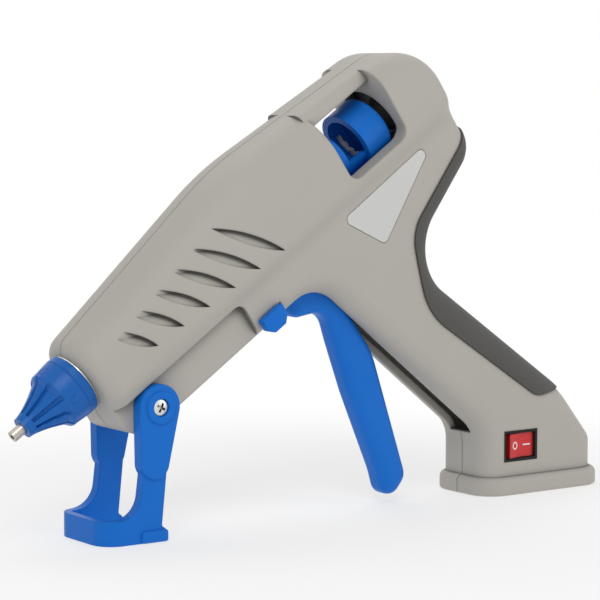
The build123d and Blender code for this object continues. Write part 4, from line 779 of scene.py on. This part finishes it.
PER_METRE = 1000
TIP_RADIUS = 3.9
FLARE = 5.3
FLARE_END = 13.6
FLARE_BEND = 1.45
BAND_RADIUS = 10.7
BAND_SWELL = 0.6
BAND_START = 14.0
BAND_FULL = 2.0              # from the back edge
FLARE_TO_BAND = (12.6, 14.6)
FLUTE_NARROW = 0.72          # share of a flute's width at the tip
FLUTE_SPREAD = 0.5           # share that is added by the band
FLUTE_FLOOR = 0.75           # shares of half a flute's width where its side starts and ends
FLUTE_BRINK = 1.15
FLUTE_FRONT = (2.6, 3.6)
FLUTE_BACK = (13.9, 14.9)
FLUTE_BOW = 0.35
GROOVE_PLACE = 3.2           # from the back edge
GROOVE_DEPTH = 0.3
GROOVE_SIDE = (0.16, 0.36)
HORSESHOES = 4
HORSESHOE_PLACE = 16.6
HORSESHOE_RADIUS = 1.25
HORSESHOE_REACH = (15.0, 18.6)
HORSESHOE_DEPTH = 0.22
HORSESHOE_SIDE = (0.14, 0.32)
BACK_ROUND = (0.0, 0.5)
BACK_DROP = 0.2
SEAT_GAP = 0.1
SKIRT_BORE = 10.9
BACK_BORE = 8.3
BORE_STEP = 13.66
CONE_BORE = 7.05
TIP_LAND = 0.55
TIP_BORE = 2.08


def off_centre(angle, count):
    """How far an angle is from the nearest of evenly spread marks."""
    pitch = 2 * math.pi / count
    return (angle + pitch / 2) % pitch - pitch / 2


def sleeve_profile(t, angle, sizes, length):
    """Outer radius of the fluted sleeve at a place along it and an angle."""
    flare = TIP_RADIUS + FLARE * (min(t, FLARE_END) / FLARE_END) ** FLARE_BEND
    band = BAND_RADIUS + BAND_SWELL * smooth(BAND_START, length - BAND_FULL, t)
    radius = flare + (band - flare) * smooth(*FLARE_TO_BAND, t)
    across = off_centre(angle, sizes.flutes) * radius
    grown = FLUTE_NARROW + FLUTE_SPREAD * min(t, BAND_START) / BAND_START
    half_flute = PER_METRE * sizes.flute_width / 2 * grown
    floor = 1 - smooth(FLUTE_FLOOR * half_flute, FLUTE_BRINK * half_flute, abs(across))
    bowed = t + FLUTE_BOW * (across / half_flute) ** 2
    ends = smooth(*FLUTE_FRONT, t) * (1 - smooth(*FLUTE_BACK, bowed))
    radius -= PER_METRE * sizes.flute_depth * floor * ends
    # A fine groove near the back edge, and small horseshoes pressed into the band behind the flutes
    radius -= GROOVE_DEPTH * (1 - smooth(*GROOVE_SIDE, abs(t - (length - GROOVE_PLACE))))
    if HORSESHOE_REACH[0] < t < HORSESHOE_REACH[1]:
        side = off_centre(angle, HORSESHOES) * radius
        bow = math.hypot(min(0.0, t - HORSESHOE_PLACE), side)
        radius -= HORSESHOE_DEPTH * (1 - smooth(*HORSESHOE_SIDE, abs(bow - HORSESHOE_RADIUS)))
    radius -= BACK_DROP * (1 - smooth(*BACK_ROUND, length - t))
    return radius


def sleeve_mesh(sizes, steps=360, rows=150):
    """Closed mesh of the fluted sleeve, with a stepped bore."""
    front, back = reach_along("nozzle_sleeve")
    seat = PER_METRE * (back - front) - SEAT_GAP
    length = seat + PER_METRE * sizes.skirt
    # The bore from the skirt over the collar to the tip
    bore = ((length, SKIRT_BORE), (seat, SKIRT_BORE), (seat, BACK_BORE), (BORE_STEP, BACK_BORE),
            (BORE_STEP, CONE_BORE), (TIP_LAND, TIP_BORE), (0.0, TIP_BORE))
    rings = len(bore) + rows
    tip = BARREL_POINT + BARREL * front
    points = []
    for step in range(steps):
        angle = 2 * math.pi * step / steps
        outward = BARREL_UP * math.cos(angle) + SIDE * math.sin(angle)
        places = [length * row / (rows - 1) for row in range(rows)]
        outline = [(t, sleeve_profile(t, angle, sizes, length)) for t in places]
        for t, radius in (*outline, *bore):
            points.append(tip + BARREL * t / PER_METRE + outward * radius / PER_METRE)
    faces = []
    for step in range(steps):
        here = step * rings
        there = (step + 1) % steps * rings
        for row in range(rings):
            after = (row + 1) % rings
            faces.append((here + row, here + after, there + after, there + row))
    return mesh_from("nozzle_sleeve_fluted", points, faces)


# Marks on the rocker

FACING_OUT = -0.9    # sideways part of a wing's normal, at most
FRONT_TILT = 0.1     # lengthwise part of the normal that tells the two wings apart
RING_STEPS = 64
BAR_SHARE = 1.2      # half the bar's length, as a share of the ring's radius


def rocker_wing(front_end):
    """Centre and outward direction of one wing of the rocker's face."""
    mesh = frame["nodes"]["switch_rocker"].data
    centre = Vector()
    outward = Vector()
    total = 0.0
    for face in mesh.polygons:
        tipped = face.normal.x > FRONT_TILT
        if face.normal.y < FACING_OUT and tipped == front_end:
            centre += face.center * face.area
            outward += face.normal * face.area
            total += face.area
    if not total:
        raise RuntimeError("the rocker has no wing to mark")
    return centre / total, outward.normalized()


def on_wing(outline, lift, centre, outward):
    """The points of a flat outline, laid on a wing at a height over it."""
    across = UP.cross(outward).normalized()
    return [centre + across * x + UP * y + outward * lift for x, y in outline]


def raised_ring(outer, inner, lift, wing):
    """Points and faces of a thin flat ring between two closed outlines on a wing."""
    points = []
    for height in (-lift, lift):
        for outline in (outer, inner):
            points += on_wing(outline, height, *wing)
    count = len(outer)
    faces = []
    for index in range(count):
        after = (index + 1) % count
        for low, high in ((0, 1), (1, 3), (3, 2), (2, 0)):
            start, end = low * count, high * count
            faces.append((start + index, start + after, end + after, end + index))
    return points, faces


def raised_bar(half_run, half_line, lift, wing):
    """Points and faces of a thin bar on a wing."""
    outline = [(x * half_run, y * half_line) for x, y in ((-1, -1), (1, -1), (1, 1), (-1, 1))]
    points = on_wing(outline, -lift, *wing) + on_wing(outline, lift, *wing)
    faces = [(3, 2, 1, 0), (4, 5, 6, 7), (0, 1, 5, 4), (1, 2, 6, 5), (2, 3, 7, 6), (3, 0, 4, 7)]
    return points, faces


def rocker_marks(sizes):
    """A ring on one wing of the rocker and a bar on the other, in one mesh."""
    ring = sizes.mark_ring
    turns = [2 * math.pi * step / RING_STEPS for step in range(RING_STEPS)]
    outer = [(ring * math.cos(turn), ring * math.sin(turn)) for turn in turns]
    left = 1 - sizes.mark_line / ring
    inner = [(x * left, y * left) for x, y in outer]
    points, faces = raised_ring(outer, inner, sizes.mark_lift, rocker_wing(True))
    bar_points, bar_faces = raised_bar(
        BAR_SHARE * ring, sizes.mark_line / 2, sizes.mark_lift, rocker_wing(False)
    )
    start = len(points)
    faces += [tuple(start + index for index in face) for face in bar_faces]
    return mesh_from("rocker_marks", points + bar_points, faces)


# Operators


class GLUEGUN_OT_housing(bpy.types.Operator):
    """Finish the two shells, the back strap and the bare plate"""

    bl_idname = "gluegun.housing"
    bl_label = "Housing"

    def execute(self, context):
        colours = context.scene.gun_colours
        sizes = context.scene.gun_sizes
        # The shells get painted shade in their hollows, darkest in the vents' scoops
        shell = moulded(
            "Housing plastic", colours.body, roughness=0.52, grain=0.0006, depth=0.000012,
            gloss=0.3, hollow_shade=0.85, edge=sizes.shell_edge,
        )
        paint(shell, "left_shell", "right_shell")
        strap = moulded("Soft strap", colours.strap, roughness=0.66, grain=0.0005, depth=0.00003)
        paint(strap, "soft_grip")
        # The filling closes the seam; its darkened colour is painted shade inside the seam
        dark = mixed(colours.body, BLACK, SEAM_SHADE)
        filling = moulded("Seam", dark, roughness=0.6, grain=0.0006, depth=0.000004, gloss=0.2)
        add_piece(seam_mesh(sizes), filling, "housing", "body_plastic")
        plate = moulded(
            "Plate", colours.plate, roughness=0.34, grain=0.0003, depth=0.000004, coat_weight=0.3
        )
        softened("label_plate", plate, "housing", "plate", width=sizes.plate_edge, segments=2)
        return {"FINISHED"}


class GLUEGUN_OT_levers(bpy.types.Operator):
    """Finish the trigger, the nose stand and its latch"""

    bl_idname = "gluegun.levers"
    bl_label = "Trigger, stand and latch"

    def execute(self, context):
        sizes = context.scene.gun_sizes
        blue = moulded(
            "Lever plastic", context.scene.gun_colours.blue, roughness=0.36, grain=0.0009, depth=0.000008,
            gloss=0.12, edge=sizes.lever_edge,
        )
        paint(blue, "trigger")
        softened("stand", blue, "stand", "blue_plastic", width=sizes.stand_edge, segments=4)
        softened("stand_latch", blue, "latch", "blue_plastic", width=sizes.latch_edge, segments=4)
        add_piece(stand_pads(sizes), blue, "stand", "blue_plastic")
        return {"FINISHED"}


class GLUEGUN_OT_feed(bpy.types.Operator):
    """Finish the feed carriage, its gripper and pins, the stick tube and the springs"""

    bl_idname = "gluegun.feed"
    bl_label = "Feed"

    def execute(self, context):
        colours = context.scene.gun_colours
        feed = moulded(
            "Feed plastic", colours.blue, roughness=0.32, grain=0.0009, depth=0.000006, gloss=0.16
        )
        paint(feed, "feed_carriage")
        tube = moulded("Tube plastic", colours.tube, roughness=0.5, grain=0.0005, depth=0.00001)
        paint(tube, "stick_tube")
        wire = worked_metal(
            "Spring wire", colours.steel, roughness=0.34, depth=0.000008, stretch=(0.15, 1.0, 0.15)
        )
        stretching("return_spring", wire)
        stretching("latch_spring", wire)
        paint(worked_metal("Zinc plate", colours.zinc, roughness=0.6, depth=0.000006), "stick_gripper")
        ground = worked_metal(
            "Ground pins", colours.steel, roughness=0.24, depth=0.000004, stretch=(1.0, 0.1, 1.0)
        )
        paint(ground, "trigger_pin", "gripper_pin")
        return {"FINISHED"}


class GLUEGUN_OT_nozzle(bpy.types.Operator):
    """Finish the nozzle and its collar, and make the fluted sleeve"""

    bl_idname = "gluegun.nozzle"
    bl_label = "Nozzle"

    def execute(self, context):
        colours = context.scene.gun_colours
        paint(warmed_metal("Nozzle metal", colours.nozzle, colours.heat, roughness=0.32), "nozzle")
        paint(worked_metal("Bright ring", colours.collar, roughness=0.16, depth=0.000003), "nozzle_collar")
        plastic = moulded(
            "Sleeve plastic", colours.sleeve, roughness=0.32, grain=0.0009, depth=0.000003, gloss=0.2
        )
        add_piece(sleeve_mesh(context.scene.gun_sizes), plastic, "housing", "sleeve_plastic", "nozzle_sleeve")
        return {"FINISHED"}


class GLUEGUN_OT_heater(bpy.types.Operator):
    """Finish the melt chamber, the heater, its clamp and the inlet seal"""

    bl_idname = "gluegun.heater"
    bl_label = "Heater"

    def execute(self, context):
        colours = context.scene.gun_colours
        paint(worked_metal("Cast alloy", colours.alloy, roughness=0.5, depth=0.00006), "melt_chamber")
        fired = moulded("Fired ceramic", colours.ceramic, roughness=0.7, grain=0.0004, depth=0.00002)
        paint(fired, "heater_plates")
        pressed = worked_metal(
            "Pressed steel", colours.steel, roughness=0.36, depth=0.000008, stretch=(0.2, 1.0, 0.2)
        )
        paint(pressed, "heater_clamp", "seal_clip")
        seal = moulded("Red silicone", colours.silicone, roughness=0.6, grain=0.0006, depth=0.00002)
        paint(seal, "inlet_seal")
        return {"FINISHED"}


class GLUEGUN_OT_switch(bpy.types.Operator):
    """Finish the rocker switch and print the marks on its rocker"""

    bl_idname = "gluegun.switch"
    bl_label = "Rocker switch"

    def execute(self, context):
        colours = context.scene.gun_colours
        sizes = context.scene.gun_sizes
        black = moulded(
            "Switch plastic", colours.switch, roughness=0.4, grain=0.0004, depth=0.000008, gloss=0.15
        )
        softened("switch_housing", black, "housing", "black_plastic", width=sizes.edge / 2, segments=2)
        clear = red_with_painted_shade("Clear red", colours.red, colours.red_shade)
        softened("switch_rocker", clear, "rocker", "red_rocker", width=sizes.edge, segments=3)
        white = moulded("White print", colours.mark, roughness=0.5, grain=0.0002, depth=0.000004)
        add_piece(rocker_marks(sizes), white, "rocker", None)
        brass = worked_metal(
            "Stamped brass", colours.brass, roughness=0.34, depth=0.000006, stretch=(0.3, 1.0, 1.0)
        )
        paint(brass, "switch_terminals", "lead_splice")
        return {"FINISHED"}


class GLUEGUN_OT_leads(bpy.types.Operator):
    """Finish the inner leads and the cord gland"""

    bl_idname = "gluegun.leads"
    bl_label = "Leads and gland"

    def execute(self, context):
        colours = context.scene.gun_colours
        paint(woven("Glass sleeving", colours.sleeving, pitch=0.0012), "heater_leads")
        rubber = moulded("Gland rubber", colours.gland, roughness=0.62, grain=0.0005, depth=0.00002)
        paint(rubber, "cord_gland")
        return {"FINISHED"}


class GLUEGUN_OT_screws(bpy.types.Operator):
    """Set cross-headed screws in the shells and the stand, and finish the clamp's screws"""

    bl_idname = "gluegun.screws"
    bl_label = "Screws"

    def execute(self, context):
        sizes = context.scene.gun_sizes
        colour = context.scene.gun_colours.plated
        # The screws get painted shade in their cross recesses and other hollows
        plated = worked_metal("Plated steel", colour, roughness=0.32, depth=0.000003, hollow_shade=0.9)
        paint(plated, "clamp_screws")
        tree = screw_tree()
        set_screws("stand_screws", tree, plated, sizes.stand_head, sizes.stand_shank, seed=3)
        set_screws("case_screws", tree, plated, sizes.case_head, sizes.case_shank, seed=7)
        return {"FINISHED"}


# Studio, in metres and watts. Each lamp is a disc: its place, its size and its power.

LAMPS = {
    "Key": ((-0.75, -0.95, 1.15), 0.9, 9.0),
    "Fill": ((0.95, -0.85, 0.55), 1.1, 3.0),
    "Top": ((0.15, 0.55, 1.25), 0.9, 4.0),
}
LAMP_AIM = Vector((0, 0, 0.08))
SURROUND_LIGHT = 0.42
FLOOR_HALF = 4.0
FLOOR_DROP = 0.0001
FLOOR_CLOUD = 0.2
FLOOR_TONES = ((0.93, 0.93, 0.93), (0.96, 0.96, 0.96))
FLOOR_FADE = (0.13, 0.30)    # distance from the origin over which the floor turns white
FLOOR_WHITE_NEAR = 0.58      # how much of the floor is white close to the part
# The camera that took the photo: a long lens, from the nose side and a little above
PHOTO_LENS = 144.49
PHOTO_SENSOR = 36.0
PHOTO_CLIP = (0.01, 50.0)
PHOTO_PLACE = Vector((-0.5057, -0.70249, 0.15919))
PHOTO_LOOK = Vector((0.575912, 0.812034, -0.094481))


class GLUEGUN_OT_stage(bpy.types.Operator):
    """Make the floor, the lamps, the white surround and the camera"""

    bl_idname = "gluegun.stage"
    bl_label = "Studio"

    def execute(self, context):
        scene = context.scene
        scene.view_settings.view_transform = "Standard"
        self.floor()
        self.surround(scene)
        for name, (place, size, power) in LAMPS.items():
            self.lamp(name, Vector(place), size, power)
        self.camera(scene)
        return {"FINISHED"}

    def floor(self):
        corners = [
            (x * FLOOR_HALF, y * FLOOR_HALF, -FLOOR_DROP) for x, y in ((-1, -1), (1, -1), (1, 1), (-1, 1))
        ]
        floor = add_object("floor", mesh_from("floor", corners, [(0, 1, 2, 3)]))
        finish = Finish("Pale floor")
        away = Wire(finish, finish.vector("LENGTH", finish.place)["Value"])
        tone = finish.mix(finish.noise(FLOOR_CLOUD), *map(opaque, FLOOR_TONES))
        near = finish.node("ShaderNodeBsdfDiffuse", None, {"Color": tone})
        white = finish.node("ShaderNodeEmission", None, {"Color": opaque(WHITE), "Strength": 1.0})
        share = away.ramp(*FLOOR_FADE) * (1 - FLOOR_WHITE_NEAR) + FLOOR_WHITE_NEAR
        whole = finish.node(
            "ShaderNodeMixShader", None, {0: share, 1: near.outputs[0], 2: white.outputs[0]}
        )
        finish.node("ShaderNodeOutputMaterial", None, {"Surface": whole.outputs[0]})
        floor.data.materials.append(finish.material)

    def surround(self, scene):
        world = bpy.data.worlds.new("White surround")
        world.use_nodes = True
        tree = world.node_tree
        tree.nodes.clear()
        path = add_node(tree, "ShaderNodeLightPath").outputs
        seen = path["Is Camera Ray"]
        for name in ("Is Glossy Ray", "Is Transmission Ray"):
            either = add_node(tree, "ShaderNodeMath", {"operation": "MAXIMUM"}, {0: seen, 1: path[name]})
            seen = either.outputs[0]
        soft, white = (
            add_node(tree, "ShaderNodeBackground", None, {"Color": opaque(WHITE), "Strength": strength})
            for strength in (SURROUND_LIGHT, 1.0)
        )
        whole = add_node(
            tree, "ShaderNodeMixShader", None, {0: seen, 1: soft.outputs[0], 2: white.outputs[0]}
        )
        add_node(tree, "ShaderNodeOutputWorld", None, {"Surface": whole.outputs[0]})
        scene.world = world

    def lamp(self, name, place, size, power):
        light = bpy.data.lights.new(name, "AREA")
        light.shape = "DISK"
        light.size = size
        light.energy = power
        lamp = add_object(name, light)
        lamp.location = place
        lamp.rotation_euler = (LAMP_AIM - place).to_track_quat("-Z", "Y").to_euler()

    def camera(self, scene):
        lens = bpy.data.cameras.new("Photo")
        lens.lens = PHOTO_LENS
        lens.sensor_width = PHOTO_SENSOR
        lens.clip_start, lens.clip_end = PHOTO_CLIP
        camera = add_object("Photo", lens)
        turn = PHOTO_LOOK.to_track_quat("-Z", "Y").to_matrix().to_4x4()
        camera.matrix_world = Matrix.Translation(PHOTO_PLACE) @ turn
        scene.camera = camera


class GLUEGUN_PT_looks(bpy.types.Panel):
    """Lists the steps and the sizes and colours they use"""

    bl_idname = "GLUEGUN_PT_looks"
    bl_label = "Glue gun"
    bl_space_type = "VIEW_3D"
    bl_region_type = "UI"
    bl_category = "Glue gun"

    def draw(self, context):
        for operator in OPERATORS:
            self.layout.operator(operator.bl_idname)
        for group in (context.scene.gun_colours, context.scene.gun_sizes):
            for name in group.bl_rna.properties.keys():
                if name not in ("rna_type", "name"):
                    self.layout.prop(group, name)


OPERATORS = (
    GLUEGUN_OT_housing,
    GLUEGUN_OT_levers,
    GLUEGUN_OT_feed,
    GLUEGUN_OT_nozzle,
    GLUEGUN_OT_heater,
    GLUEGUN_OT_switch,
    GLUEGUN_OT_leads,
    GLUEGUN_OT_screws,
    GLUEGUN_OT_stage,
)
CLASSES = (GunColours, GunSizes, *OPERATORS, GLUEGUN_PT_looks)


def register():
    for kind in CLASSES:
        bpy.utils.register_class(kind)
    bpy.types.Scene.gun_colours = PointerProperty(type=GunColours)
    bpy.types.Scene.gun_sizes = PointerProperty(type=GunSizes)


def unregister():
    del bpy.types.Scene.gun_sizes
    del bpy.types.Scene.gun_colours
    for kind in reversed(CLASSES):
        bpy.utils.unregister_class(kind)


def main():
    register()
    for operator in OPERATORS:
        area, step = operator.bl_idname.split(".")
        getattr(getattr(bpy.ops, area), step)()


if __name__ == "__main__":
    main()
